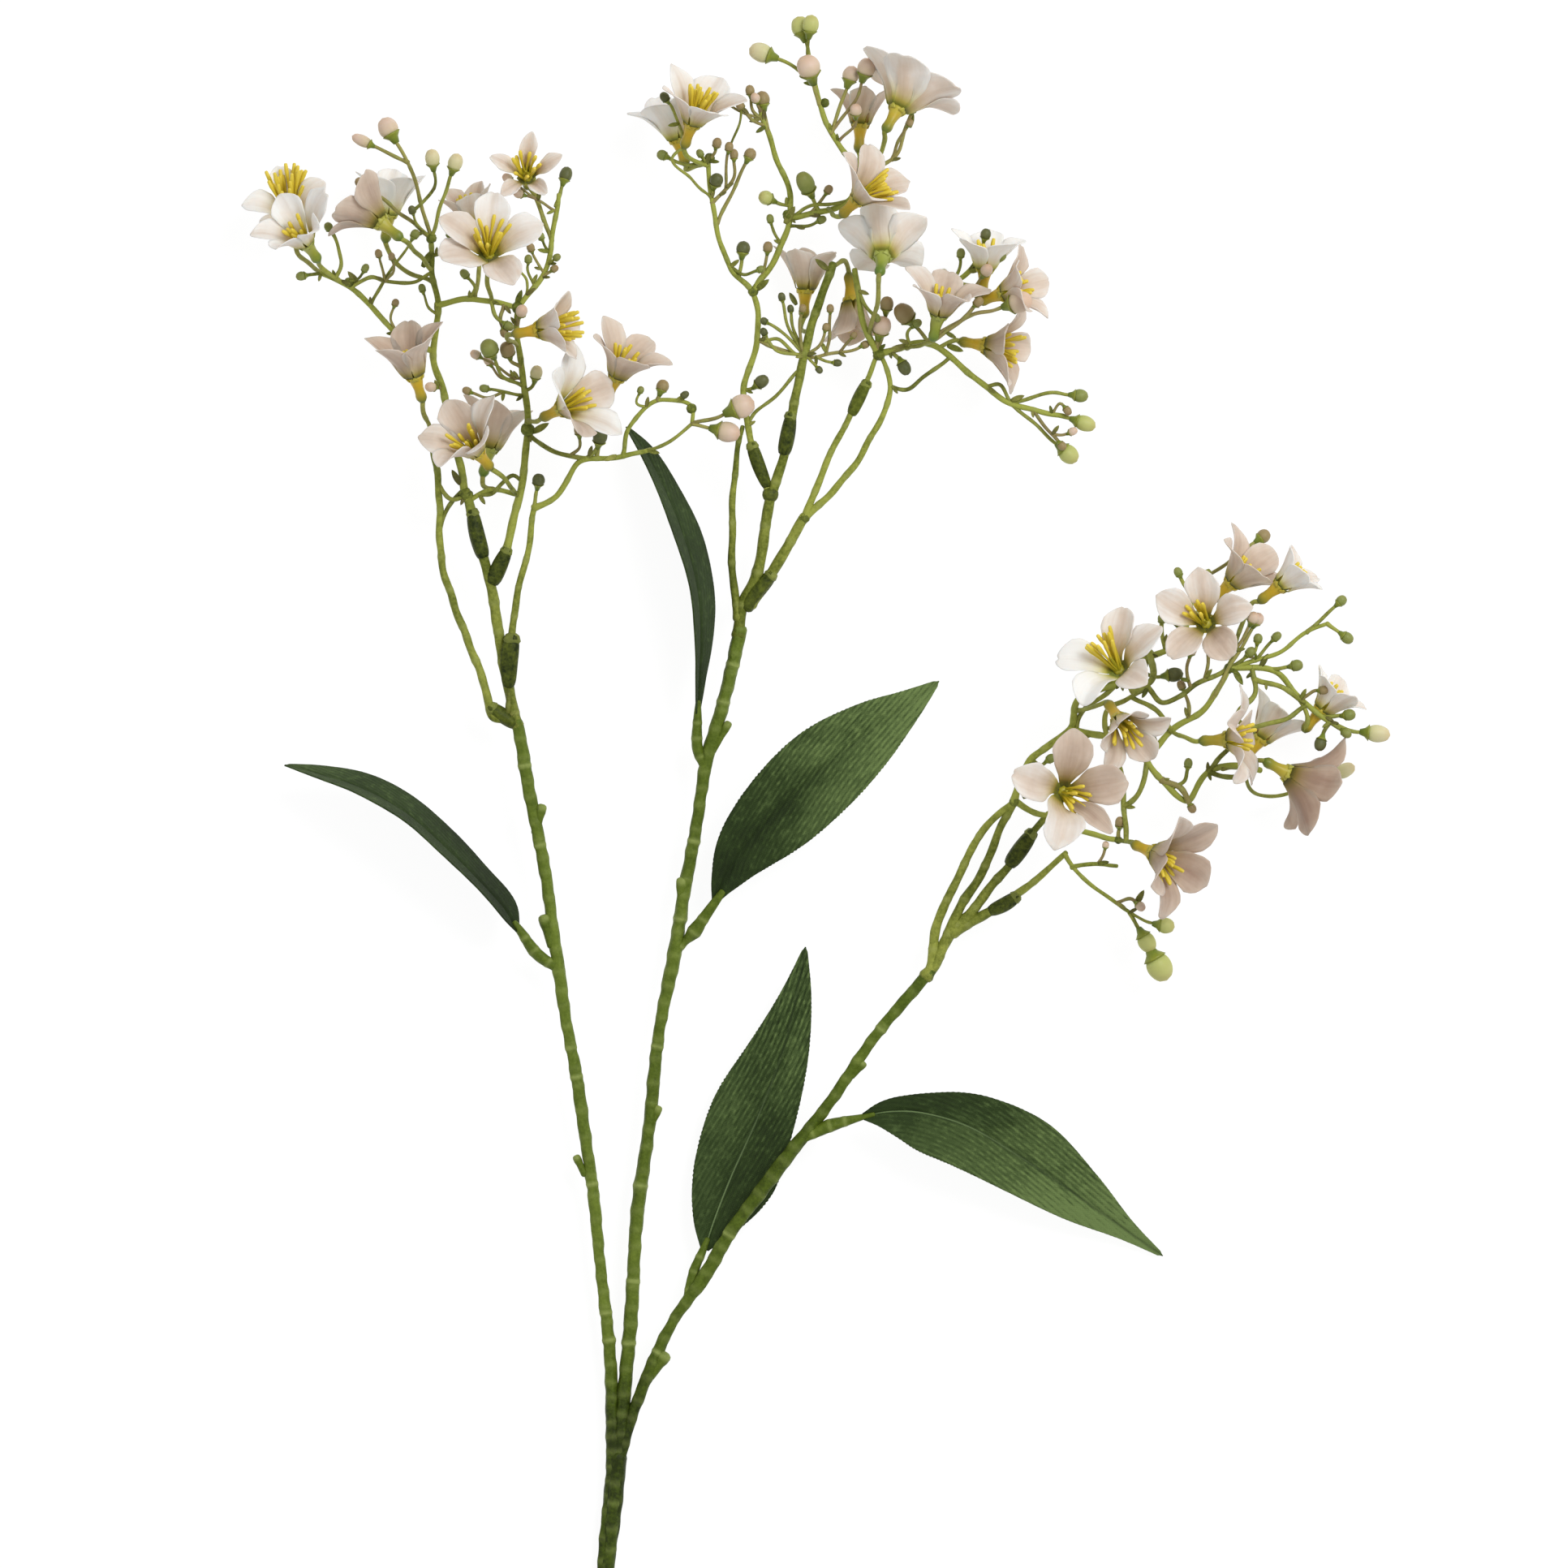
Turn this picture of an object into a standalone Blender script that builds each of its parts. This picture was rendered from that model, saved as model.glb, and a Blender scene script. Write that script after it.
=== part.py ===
"""A jasmine flower sprig: a forked stem, five leaves and three sprays of white blooms, lying on its back.

The tables are in millimetres. +X is right, +Y runs from the cut end to the tips and +Z is up from
the surface that the sprig lies on, at z = 0.
"""
import math
import random

import bmesh
import bpy
from mathutils import Matrix, Vector

MM = 0.001
COLLECTION_NAME = "jasmine_flower_sprig"

SEAT_GAP = 0.3          # between a piece and the one that carries it
SEAT_RUN = 4.0          # straight length of a spray's foot beyond its branch
ROUND = 1               # tube fineness: six sides
SQUARE = 0              # tube fineness: four sides

PETALS = 5
PETAL_LENGTH = 19.0
PETAL_HALF_WIDTH = 6.4
PETAL_THICKNESS = 0.75
RING_RADIUS = 3.3       # hole of the petal ring, round the foot of the stamens
RING_HEIGHT = 0.9       # the ring's middle surface above the calyx rim
PETAL_FOOT = 0.17       # part of a petal's length where it leaves the ring
PETAL_WIDEST = 0.62     # part of its length where it is widest
PETAL_SHOULDER = 0.86   # part of its length where it starts to round off to the tip
SHOULDER_WIDTH = 0.72   # half width there, as a part of the largest
PETAL_DISH = 0.5        # rise of the edges above the middle line
EARLY_BEND = 0.45       # the part of the opening angle that a petal has where it leaves the ring
# The triangles of a petal: 0 and 1 are its ring points, 2 and 3 its foot, 4 to 6 its widest row and
# 7 to 9 its tip row.
PETAL_FACES = ((0, 1, 3), (0, 3, 2), (2, 3, 5), (2, 5, 4), (3, 6, 5), (4, 5, 7), (5, 8, 7), (5, 9, 8),
               (5, 6, 9))
BEND_SPREAD = (0.94, 1.06)      # how much one petal bends more or less than its bloom's opening
SIZE_SPREAD = (0.96, 1.03)
WELD = 0.01             # points nearer than this are one point
CALYX_LENGTH = 9.0
CALYX_RIM = 2.5         # radius where the petals sit
CALYX_FOOT = 1.4        # radius where it meets the pedicel
PEDICEL_RADIUS = 0.9
STAMENS = 4
STAMEN_LENGTH = 9.5
STAMEN_RADIUS = 0.95
STAMEN_CIRCLE = 1.2
STAMEN_ROOT = 1.2       # length buried in the calyx
STAMEN_LEAN_SHARE = 0.3         # outward lean of the stamens as a part of the bloom's opening
STAMEN_LEAN_LIMIT = 20.0
TWIG_RADIUS = 0.8
BIG_BUD = 6.0           # buds longer than this get the rounder profile
# A bud's outline: place along it as a part of its length, radius as a part of its width.
SMALL_PROFILE = ((-0.5, 0.22), (0.02, 0.5), (0.5, 0.18))
BIG_PROFILE = ((-0.5, 0.2), (-0.2, 0.47), (0.22, 0.46), (0.5, 0.2))

LEAF_COLUMNS = 4
LEAF_THICKNESS = 0.8
LEAF_FOLD = 0.16        # rise of the edges above the midrib, as a share of the half width

STEM_GREEN = (0.105, 0.205, 0.022)
SPRAY_GREEN = (0.120, 0.215, 0.030)
LEAF_GREEN = (0.035, 0.075, 0.022)
PETAL_WHITE = (0.760, 0.690, 0.650)

# Stem: each route is a list of (x, y, z, radius).
TRUNK = [(-75.5, -300, 2.1, 2.6), (-74.0, -262, 2.1, 2.6), (-73.4, -236, 2.7, 2.8), (-71.4, -215, 3.6, 3.5),
         (-70.0, -192, 4.6, 4.0), (-69.6, -183, 5.0, 3.4)]
BRANCH_LEFT = [(-70.1, -196, 4.5, 2.32), (-71.8, -176, 5.4, 2.42), (-74.3, -146, 6.8, 2.12),
               (-77.3, -115, 8.2, 2.12),
               (-80.5, -92, 9.2, 2.22), (-83.8, -67, 10.2, 2.22), (-88, -46, 10.9, 2.12),
               (-90.5, -26, 11.5, 2.32),
               (-94.1, -1, 12.2, 2.12), (-96.8, 13, 12.7, 2.22), (-99.7, 29, 13.2, 2.32),
               (-103.1, 50, 14, 2.22)]
BRANCH_MIDDLE = [(-69.2, -194, 4.8, 2.52), (-67.1, -172, 5.8, 2.62), (-64.6, -138, 7.2, 2.42),
                 (-61.8, -104, 8.5, 2.42),
                 (-58.4, -78, 9.4, 2.32), (-54.6, -46, 10.2, 2.22), (-49.6, -21, 11, 2.52),
                 (-46.2, 0, 11.6, 2.32),
                 (-43.2, 18, 12.2, 2.22), (-39, 42, 13, 2.32), (-34.1, 59, 13.5, 2.42),
                 (-29.4, 80, 14.2, 2.42)]
BRANCH_RIGHT = [(-69, -198, 4.6, 2.15), (-64.6, -182, 5.8, 2.15), (-57.8, -166, 7.6, 2.25),
                (-50, -150, 9.4, 2.05),
                (-40.5, -136, 10.8, 2.45), (-31.5, -121, 12.2, 2.35), (-20, -106, 13.2, 2.55),
                (-7.5, -89, 13.8, 2.45), (5, -73, 14, 2.05), (21, -50, 14, 2.05), (36.5, -32, 14, 2.05)]
LEAF_STALK_LEFT = [(-90.4, -29.0, 11.4, 1.5), (-97.8, -23.6, 12.6, 1.9), (-103.2, -16.2, 13.8, 1.1)]
LEAF_STALK_NARROW = [(-39.9, 40.5, 13.0, 1.4), (-41.8, 48.0, 14.0, 1.9), (-41.4, 58.0, 15.0, 1.2)]
LEAF_STALK_LARGE = [(-50.4, -24.0, 11.0, 1.6), (-44.0, -17.0, 12.6, 2.2), (-36.6, -6.6, 14.6, 1.1)]
LEAF_STALK_LOWER = [(-46.0, -144.0, 10.0, 1.5), (-43.4, -133.5, 9.2, 1.6), (-40.6, -127.0, 8.6, 1.3)]
LEAF_STALK_RIGHT = [(-6.0, -88.0, 13.8, 1.4), (2.2, -83.9, 14.0, 2.2), (14.4, -80.4, 14.6, 1.0)]
# The scars of side shoots cut off in the leaf angles: root and tip, (x, y, z, radius).
STUBS = (
    [(-81.2, -100, 9.0, 1.2), (-84.2, -94.2, 9.6, 1.0)],
    [(-92.8, -18, 11.8, 1.3), (-96.6, -11.4, 12.4, 1.1)],
    [(-98.2, 18, 12.8, 1.4), (-95.8, 27.0, 13.6, 1.2)],
    [(-58.6, -170, 7.2, 1.6), (-53.6, -163.0, 8.6, 1.9)],
    [(-59.6, -86, 9.2, 1.4), (-55.8, -77.4, 10.0, 1.3)],
    [(-37.4, 46, 13.2, 1.6), (-31.6, 55.4, 14.0, 1.2)],
    [(-48.2, -8, 11.4, 1.4), (-48.6, 1.2, 12.2, 1.2)],
    [(11.0, -66, 14.0, 1.2), (15.2, -61.8, 14.2, 1.0)],
)

# Leaves: (x, y, z, half width to the left, half width to the right, roll in degrees) along the midrib.
LEAF_LEFT = (
    (-104.4, -16, 14.1, 1.2, 1.2, 62), (-108.4, -9.1, 15, 8, 8, 66), (-118.4, 2.1, 16.6, 10.5, 10.5, 70),
    (-130.4, 13.9, 18, 12, 12, 70), (-143.4, 25.1, 18.8, 12.4, 12.4, 70), (-158.4, 33.3, 18.6, 11, 11, 70),
    (-172.4, 37.9, 17.4, 6.8, 6.8, 70), (-184.8, 41.3, 15.6, 0.6, 0.6, 70),
)
LEAF_NARROW = (
    (-42.2, 59, 15.2, 1.2, 1.2, 66), (-41.8, 70, 16.6, 4.6, 4.6, 70), (-41.2, 84, 17.4, 8.6, 8.6, 70),
    (-42, 100, 17.4, 11.4, 11.4, 70), (-46, 117, 16.4, 12.2, 12.2, 68), (-52.5, 134, 14.2, 9.2, 9.2, 66),
    (-60, 149, 10.6, 5.2, 5.2, 62), (-66.8, 158.2, 7.6, 0.6, 0.6, 60),
)
LEAF_LARGE = (
    (-36.1, -5.6, 14.8, 1.2, 1.2, 4), (-33.0, 1.2, 16.2, 4.8, 4.8, 6), (-26.0, 12.4, 18.6, 10.2, 10.2, 8),
    (-12.2, 26.9, 21.2, 14.4, 14.4, 8), (2.2, 40.6, 22.0, 14.8, 14.8, 8), (18.2, 53.0, 20.4, 10.9, 10.9, 8),
    (30.4, 61.8, 17.4, 5.6, 5.6, 6), (41.2, 70.2, 13.6, 0.6, 0.6, 4),
)
LEAF_LOWER = (
    (-39.8, -126.2, 8.4, 1.4, 1.4, 0), (-36.8, -117, 7, 7.4, 8.6, 0), (-30.8, -101.5, 5.4, 13.4, 15.2, 0),
    (-21.4, -80.5, 5, 16.4, 13, 0), (-13, -58.5, 7, 12, 9.2, 0), (-8, -38, 10, 5.4, 5.2, 0),
    (-4.9, -21.6, 12.6, 0.6, 0.6, 0),
)
LEAF_RIGHT = (
    (15.0, -80.2, 14.8, 1.1, 1.1, 0), (22.0, -78.6, 15.8, 3.8, 6.2, 0), (34.0, -78.6, 17.0, 6.4, 12.4, 0),
    (51.0, -83.4, 17.0, 11.6, 14.4, 0), (70.0, -94.6, 13.6, 14.8, 12.6, 0),
    (90.0, -108.2, 8.0, 9.6, 9.0, 0), (106.0, -119.6, 3.6, 3.8, 3.6, 0), (118.6, -128.4, 1.2, 0.6, 0.6, 0),
)

# Sprays.
# STALKS and THICK, their swollen lengths: (first radius, last radius, fineness, points).
# KNOBS: (x, y, z, radius).
# BUDS: (points of the twig, bud length, bud width).
# BLOOMS: (foot of the bloom, axis, tip of a petal in x and y, opening in degrees, size,
#          points of the pedicel).
LEFT_STALKS = (
    (2.1, 1.9, ROUND, ((-106.4, 63, 14.8), (-109.8, 80, 16), (-112.3, 96, 17.6), (-114.4, 107, 18.8),
                       (-117.4, 117, 20), (-121.8, 135, 22))),
    (1.6, 1.1, ROUND, ((-121.8, 133, 21.8), (-124.4, 146, 22), (-129.6, 169, 22), (-133.4, 183, 23),
                       (-131.6, 198, 25), (-133.8, 212, 26), (-134, 223, 27))),
    (1.8, 1.3, SQUARE, ((-112.8, 58, 15.4), (-115.5, 68.5, 16), (-126.3, 97, 17.5), (-130.6, 112, 18.6),
                       (-131.4, 136, 21), (-134.2, 157, 25))),
    (1.5, 1.2, SQUARE, ((-106.4, 82, 18.4), (-104.9, 98, 19), (-101.0, 114, 19.6), (-98.6, 130, 20.4))),
    (1.8, 1.5, ROUND, ((-109.6, 111, 20.2), (-105.2, 127, 21), (-102.6, 140, 21.4), (-100.8, 157, 22.4),
                       (-102.4, 176, 26), (-104.4, 188, 29), (-104.2, 199, 31))),
    (1.1, 1.0, SQUARE, ((-133.4, 184, 23), (-146, 190, 24), (-155, 200, 25), (-162, 206, 26),
                        (-172, 211, 27))),
    (1.2, 0.9, SQUARE, ((-98.6, 130, 20.4), (-91, 133.6, 21), (-83, 145.6, 22), (-68, 147.6, 22.4),
                        (-58.6, 150, 22.8))),
    (0.9, 0.8, SQUARE, ((-68, 147.6, 22.4), (-66, 157, 24), (-56, 167, 26), (-44, 164.8, 28.4),
                        (-44, 159, 29))),
    (1.1, 0.9, SQUARE, ((-104.2, 199, 31), (-95, 211, 29), (-91.8, 226, 28), (-90, 238, 28))),
    (1.2, 1.0, SQUARE, ((-132, 200, 25), (-120, 202, 27), (-104.2, 199, 31))),
    (1.0, 0.9, SQUARE, ((-121, 132.6, 21.6), (-112.6, 136.4, 21.6), (-105, 134.6, 21.4))),
)
LEFT_THICK = (
    (2.4, 2.6, ROUND, ((-105.4, 55.5, 14.3), (-113.4, 61, 15.6))),
    (3.0, 3.2, ROUND, ((-107.4, 71.5, 16.8), (-106.2, 84, 18.6))),
    (2.8, 2.4, ROUND, ((-112.6, 106, 19), (-108.0, 114.6, 20.4))),
    (2.7, 2.5, ROUND, ((-116.6, 115, 19.8), (-119.8, 127.6, 21.2))),
)
LEFT_KNOBS = ((-100.8, 157, 22.4, 2.6), (-122, 134.6, 22, 2.5), (-134, 223, 27, 2.0),
              (-104.2, 199, 31, 2.2), (-44.2, 164.2, 28.4, 1.9), (-162.4, 207.6, 26.2, 1.9))
LEFT_BUDS = (
    (((-134, 223, 27), (-142, 249, 31), (-149, 261, 30)), 7.6, 6.8),
    (((-142, 249, 31), (-158, 256.6, 29)), 7.5, 4.0),
    (((-134, 223, 27), (-149, 235, 31), (-158.4, 242, 33)), 4.2, 3.6),
    (((-134, 223, 27), (-130, 236, 33), (-125.6, 249, 36)), 6.4, 5.0),
    (((-91, 234, 28), (-87.6, 245, 26)), 5.6, 4.4),
    (((-102.2, 172, 25), (-109, 175, 31), (-114, 185, 40)), 6.4, 6.2),
    (((-98.6, 130, 20.4), (-97, 139.6, 24)), 4.6, 4.4),
    (((-56, 167, 26), (-54.2, 172, 26)), 4.6, 4.4),
    (((-44, 159, 29), (-31.6, 156, 31)), 8.6, 7.0),
    (((-44, 159, 29), (-35, 161.4, 31), (-26.6, 165, 32)), 8.6, 8.2),
    (((-133.4, 184, 23), (-139.6, 185.6, 12), (-141.4, 186, 3.36)), 6.4, 6.2),
)
LEFT_BLOOMS = (
    ((-183, 231, 18), (-0.15, 0.55, 0.85), (-199, 235), 84, 0.76, ((-172, 211, 27), (-180, 218, 15))),
    ((-177, 221, 43), (-0.45, 0.65, 0.60), (-195, 223), 62, 0.92, ((-166, 208.5, 27), (-172, 213, 32))),
    ((-151, 228, 48), (-0.75, 0.60, -0.25), (-162, 242), 56, 0.86, ((-134, 212, 26), (-140, 219, 42))),
    ((-149, 231, 15), (0.10, 0.95, 0.12), (-154, 248), 46, 0.90, ((-133.6, 208, 25.8), (-146, 214, 16.5))),
    ((-101, 244, 38), (-0.05, 0.35, 0.90), (-100.5, 259.5), 74, 0.68, ((-92.4, 222, 28), (-98, 237, 27))),
    ((-114, 217, 52), (0.05, 0.50, 0.85), (-133, 226), 82, 1.04, ((-113, 200.4, 28.6), (-114.6, 209, 40))),
    ((-120, 229, 15), (-0.20, 0.85, 0.20), (-121, 240), 46, 0.66, ((-119, 202, 27.2), (-117, 219, 15))),
    ((-97, 191, 53), (0.90, 0.15, 0.30), (-91, 200), 54, 0.76, ((-104.4, 186, 28.6), (-108, 189, 46))),
    ((-139.5, 175, 36), (-0.28, 0.90, 0.30), (-154, 187), 48, 0.98, ((-134.2, 157, 25), (-136.4, 162, 30))),
    ((-118, 149, 42), (-0.50, 0.60, 0.60), (-130, 171), 60, 0.98, ((-104, 134, 21.4), (-109, 140, 34))),
    ((-114.2, 150, 14.2), (0.22, 0.92, -0.08), (-119, 173), 42, 0.98,
     ((-112.6, 136.4, 21.6), (-116.4, 138, 17))),
    ((-89, 164, 44), (0.75, 0.35, 0.55), (-90, 187), 74, 1.08, ((-101, 160, 23), (-97, 160, 37))),
    ((-70, 175, 26), (0.35, 0.75, 0.35), (-72, 196), 58, 0.96, ((-77, 146.8, 22.2), (-74, 164, 22))),
)

MIDDLE_STALKS = (
    (2.2, 2.0, ROUND, ((-26.4, 97, 15.2), (-21.6, 107, 16.2), (-19.0, 122, 17.4), (-17, 134.5, 18.5))),
    (1.7, 1.0, SQUARE, ((-28.2, 94, 15), (-30, 106, 16), (-30, 132, 17.6), (-28.6, 148, 18.6),
                        (-26.6, 158, 19.4))),
    (1.4, 1.05, SQUARE, ((-17.4, 134.5, 18.5), (-24.4, 156, 20), (-26, 172, 21), (-21.4, 188, 22),
                         (-23, 204, 23),
                       (-31, 213, 24), (-36.6, 232, 25), (-38.6, 250, 26))),
    (2.0, 1.6, ROUND, ((-16.6, 134.5, 18.5), (-12.4, 148, 20), (-8, 170, 22), (-2.8, 193, 25),
                       (4.5, 214, 24))),
    (2.4, 1.9, ROUND, ((-21, 101, 15.8), (-14.5, 111, 17), (-5.4, 127, 18.8))),
    (1.5, 1.3, SQUARE, ((-5.4, 126, 18.8), (3.5, 148, 20.4), (13, 167, 22), (20, 183, 23.4))),
    (1.5, 1.2, SQUARE, ((-5.4, 126, 18.8), (9.6, 141.6, 20), (20.6, 160, 21.6), (24.5, 171, 22.4),
                       (21, 183, 23.4))),
    (1.2, 1.0, SQUARE, ((-22.6, 205, 23), (-13, 221, 24), (-10, 237, 25), (-14.4, 249, 26),
                        (-20.4, 267, 27))),
    (1.2, 1.0, SQUARE, ((-11, 230, 24.6), (0, 232, 26), (11, 236.6, 27), (12, 246, 27), (2, 263, 28),
                        (-1.6, 276, 29))),
    (1.3, 1.1, SQUARE, ((20, 183, 23.4), (15, 194, 28), (12, 212, 29))),
    (1.3, 1.0, SQUARE, ((20, 183, 23.4), (38, 186.6, 24), (52, 176, 24), (66, 166, 24), (84, 161.6, 24))),
    (1.2, 1.0, SQUARE, ((38, 186.6, 24), (42, 203, 22), (52, 212, 22))),
)
MIDDLE_THICK = (
    (3.0, 2.6, ROUND, ((-23.4, 99, 15.4), (-16.6, 107, 16.8))),
    (2.0, 2.4, ROUND, ((-17.6, 135, 18.6), (-23.4, 151.6, 19.8))),
    (2.6, 2.3, ROUND, ((-12.0, 150.6, 20.3), (-10.0, 161, 21.3))),
    (2.1, 2.1, ROUND, ((11.4, 163, 21.6), (16.2, 173, 22.6))),
)
MIDDLE_KNOBS = ((-17, 134.6, 18.5, 2.9), (-5.4, 126.4, 18.8, 2.1), (20.4, 183, 23.4, 2.4),
                (-11, 231, 24.6, 2.0),
                (-38, 250.6, 26, 1.9), (-23, 204.6, 23, 1.9), (1.8, 269.6, 28.6, 1.7))
MIDDLE_BUDS = (
    (((-35.4, 228, 24.8), (-24, 252, 24)), 4.4, 4.2),
    (((-38.6, 250, 26), (-46, 248, 30), (-54.4, 251.6, 30)), 3.8, 3.6),
    (((-37.4, 238, 25.4), (-35.6, 243, 28)), 5.0, 4.6),
    (((-18, 260, 26.8), (-19.8, 271, 27)), 5.6, 5.0),
    (((-1.6, 276, 29), (-12, 284, 28), (-20.4, 287, 27)), 8.4, 6.6),
    (((-1.6, 276, 29), (-4, 288, 29), (-6.6, 296, 28)), 7.2, 6.6),
    (((0, 269, 28.6), (-4, 282, 34)), 8.4, 8.0),
    (((0, 232, 26), (-5, 242, 32)), 8.8, 6.0),
    (((-28, 209, 23.6), (-26.4, 219.6, 24)), 5.0, 4.8),
    (((4, 259, 28), (10.8, 279.4, 28)), 6.2, 5.8),
    (((38, 186.6, 24), (29, 197, 30)), 7.8, 6.6),
    (((52, 212, 22), (60, 218, 14), (66, 221, 10)), 4.2, 3.6),
    (((66, 166, 24), (86, 148.4, 22)), 7.4, 6.2),
    (((66, 166, 24), (80, 169.6, 24), (90, 168.6, 24)), 5.4, 4.6),
    (((84, 161.6, 24), (91.6, 159, 24)), 7.6, 5.4),
)
MIDDLE_BLOOMS = (
    ((-49, 257, 20), (-0.30, 0.90, 0.10), (-68, 268.5), 50, 0.94, ((-38.6, 249, 26), (-46, 247, 17))),
    ((-44, 262, 42), (0.30, 0.85, 0.40), (-49, 284), 58, 0.98, ((-38.6, 248, 26), (-46, 251, 35))),
    ((26.6, 267, 42), (0.45, 0.80, -0.35), (17, 288), 78, 1.14, ((12, 243, 27), (21.5, 253, 36))),
    ((14, 262, 16), (0.05, 0.90, -0.10), (10, 275), 44, 0.74, ((12, 240, 27), (14, 251, 18))),
    ((13, 236, 49), (0.60, 0.60, 0.50), (18, 250), 62, 0.90, ((3, 233, 26.2), (6, 230, 41))),
    ((21.5, 216, 42), (0.10, 0.60, -0.75), (6, 220), 70, 0.96, ((17, 190, 26.6), (20, 202, 44))),
    ((-5, 205, 12.2), (0.05, 0.95, 0.02), (-13, 218), 44, 0.86, ((-3.6, 190, 24.6), (-6.4, 192.4, 15))),
    ((11, 202, 14), (0.10, -0.95, 0.10), (5, 188), 43, 0.82, ((4.2, 213, 24), (8.6, 215.4, 19))),
    ((41, 196, 46), (0.22, 0.90, 0.35), (33, 209), 64, 0.90, ((30, 185, 23.8), (38, 187, 41))),
    ((57, 212, 26), (0.10, 0.90, 0.20), (48, 225), 56, 0.82, ((47, 208, 22), (56, 205, 24))),
    ((63, 203.6, 46), (0.85, 0.30, 0.35), (79, 209), 60, 0.82, ((42, 203, 22), (54, 203, 42))),
    ((57, 186, 24), (0.85, -0.14, 0.20), (62, 199), 66, 0.88, ((41, 185, 24), (47, 188, 23))),
)

RIGHT_STALKS = (
    (2.4, 2.0, ROUND, ((39.2, -28.2, 14.2), (45, -17, 15), (52, -10, 15.8))),
    (2.0, 1.3, SQUARE, ((39, -26, 14.2), (40.4, -14, 16), (46.6, 0, 18), (56.6, 19, 20.4), (67, 28.6, 22))),
    (2.0, 1.4, SQUARE, ((42, -22, 14.8), (49, -7, 16.4), (56, 4, 18), (63, 21, 20.2), (67.6, 29, 22))),
    (2.0, 1.3, SQUARE, ((51, -11, 15.8), (58, -2, 16.8), (65, 6, 17.8), (72.4, 16.6, 19), (79, 24.4, 20))),
    (2.2, 1.1, SQUARE, ((49, -13.5, 15.6), (60, -8.4, 16.4), (72.6, 0, 17.6), (85, 11, 19))),
    (1.2, 1.1, SQUARE, ((67.4, 28.8, 22), (75, 24.6, 21), (79, 23.6, 20))),
    (1.4, 1.1, SQUARE, ((67, 28.6, 22), (72, 42, 23), (86.4, 54, 24), (89.6, 64, 25), (104, 70, 26),
                       (113.6, 80, 26))),
    (1.3, 1.1, SQUARE, ((86.4, 53.4, 24), (101, 50.4, 25), (112, 44, 26), (120, 52, 26), (134, 62, 26),
                       (141, 74.5, 25))),
    (1.2, 1.1, SQUARE, ((112, 44, 26), (118, 36, 26), (127, 29, 25), (134, 39, 22), (146, 41, 22),
                       (152, 39.4, 24))),
    (1.2, 1.0, SQUARE, ((141, 74.5, 25), (156, 74.2, 25), (166, 64, 25), (176, 56, 25))),
    (0.9, 0.75, SQUARE, ((141, 74.5, 25), (158, 80, 26), (168, 87, 26), (175, 90, 26))),
    (1.2, 1.0, SQUARE, ((79, 24.4, 20), (92, 18, 20), (103, 15.4, 22))),
    (0.9, 0.75, SQUARE, ((84.6, 10.6, 19), (88, 5, 18.6), (95, -1, 18), (107, -9.6, 18))),
    (0.9, 0.75, SQUARE, ((87, 6, 18.6), (96, 7.2, 19), (102.6, 6.4, 20))),
    (1.2, 1.0, SQUARE, ((113, 78, 26), (124, 84, 24), (131, 104, 23), (135.6, 100, 24))),
)
RIGHT_THICK = (
    (2.8, 2.6, ROUND, ((66.4, 8.4, 18), (73.2, 17.6, 19.2))),
    (2.3, 2.5, ROUND, ((60.4, -8.6, 16.4), (67.4, -4.6, 17))),
)
RIGHT_KNOBS = ((67.2, 28.6, 22, 1.9), (103.4, 20.4, 22, 1.6), (141, 74.5, 25, 1.9), (103, 15.4, 22, 1.5))
RIGHT_BUDS = (
    (((108.5, 74.8, 26), (116, 71.6, 27), (122.4, 72.4, 27)), 6.2, 5.0),
    (((134, 62, 26), (151, 91.6, 30)), 4.6, 4.2),
    (((168, 87, 26), (180, 98, 26)), 4.0, 3.6),
    (((175, 90, 26), (182, 85, 26)), 4.6, 4.0),
    (((156, 74.2, 25), (164.6, 75.6, 28)), 4.4, 4.0),
    (((176, 56, 25), (184, 53, 25), (192.6, 52, 25)), 8.6, 6.0),
    (((146, 41, 22), (151, 31, 10), (168, 33, 3.6), (181.6, 39.4, 5.6)), 7.4, 5.0),
    (((107, -9.6, 18), (113, -20, 17)), 7.6, 6.0),
    (((107, -9.6, 18), (117.4, -28.6, 16)), 10.4, 8.6),
    (((103, 15.4, 22), (103.6, 21.6, 24)), 4.0, 3.4),
    (((131, 104, 23), (135, 107, 12), (153.4, 120.4, 6)), 5.0, 4.6),
    (((128, 95, 23.6), (131, 93, 12), (132, 92, 3.12)), 6.0, 6.0),
)
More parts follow.
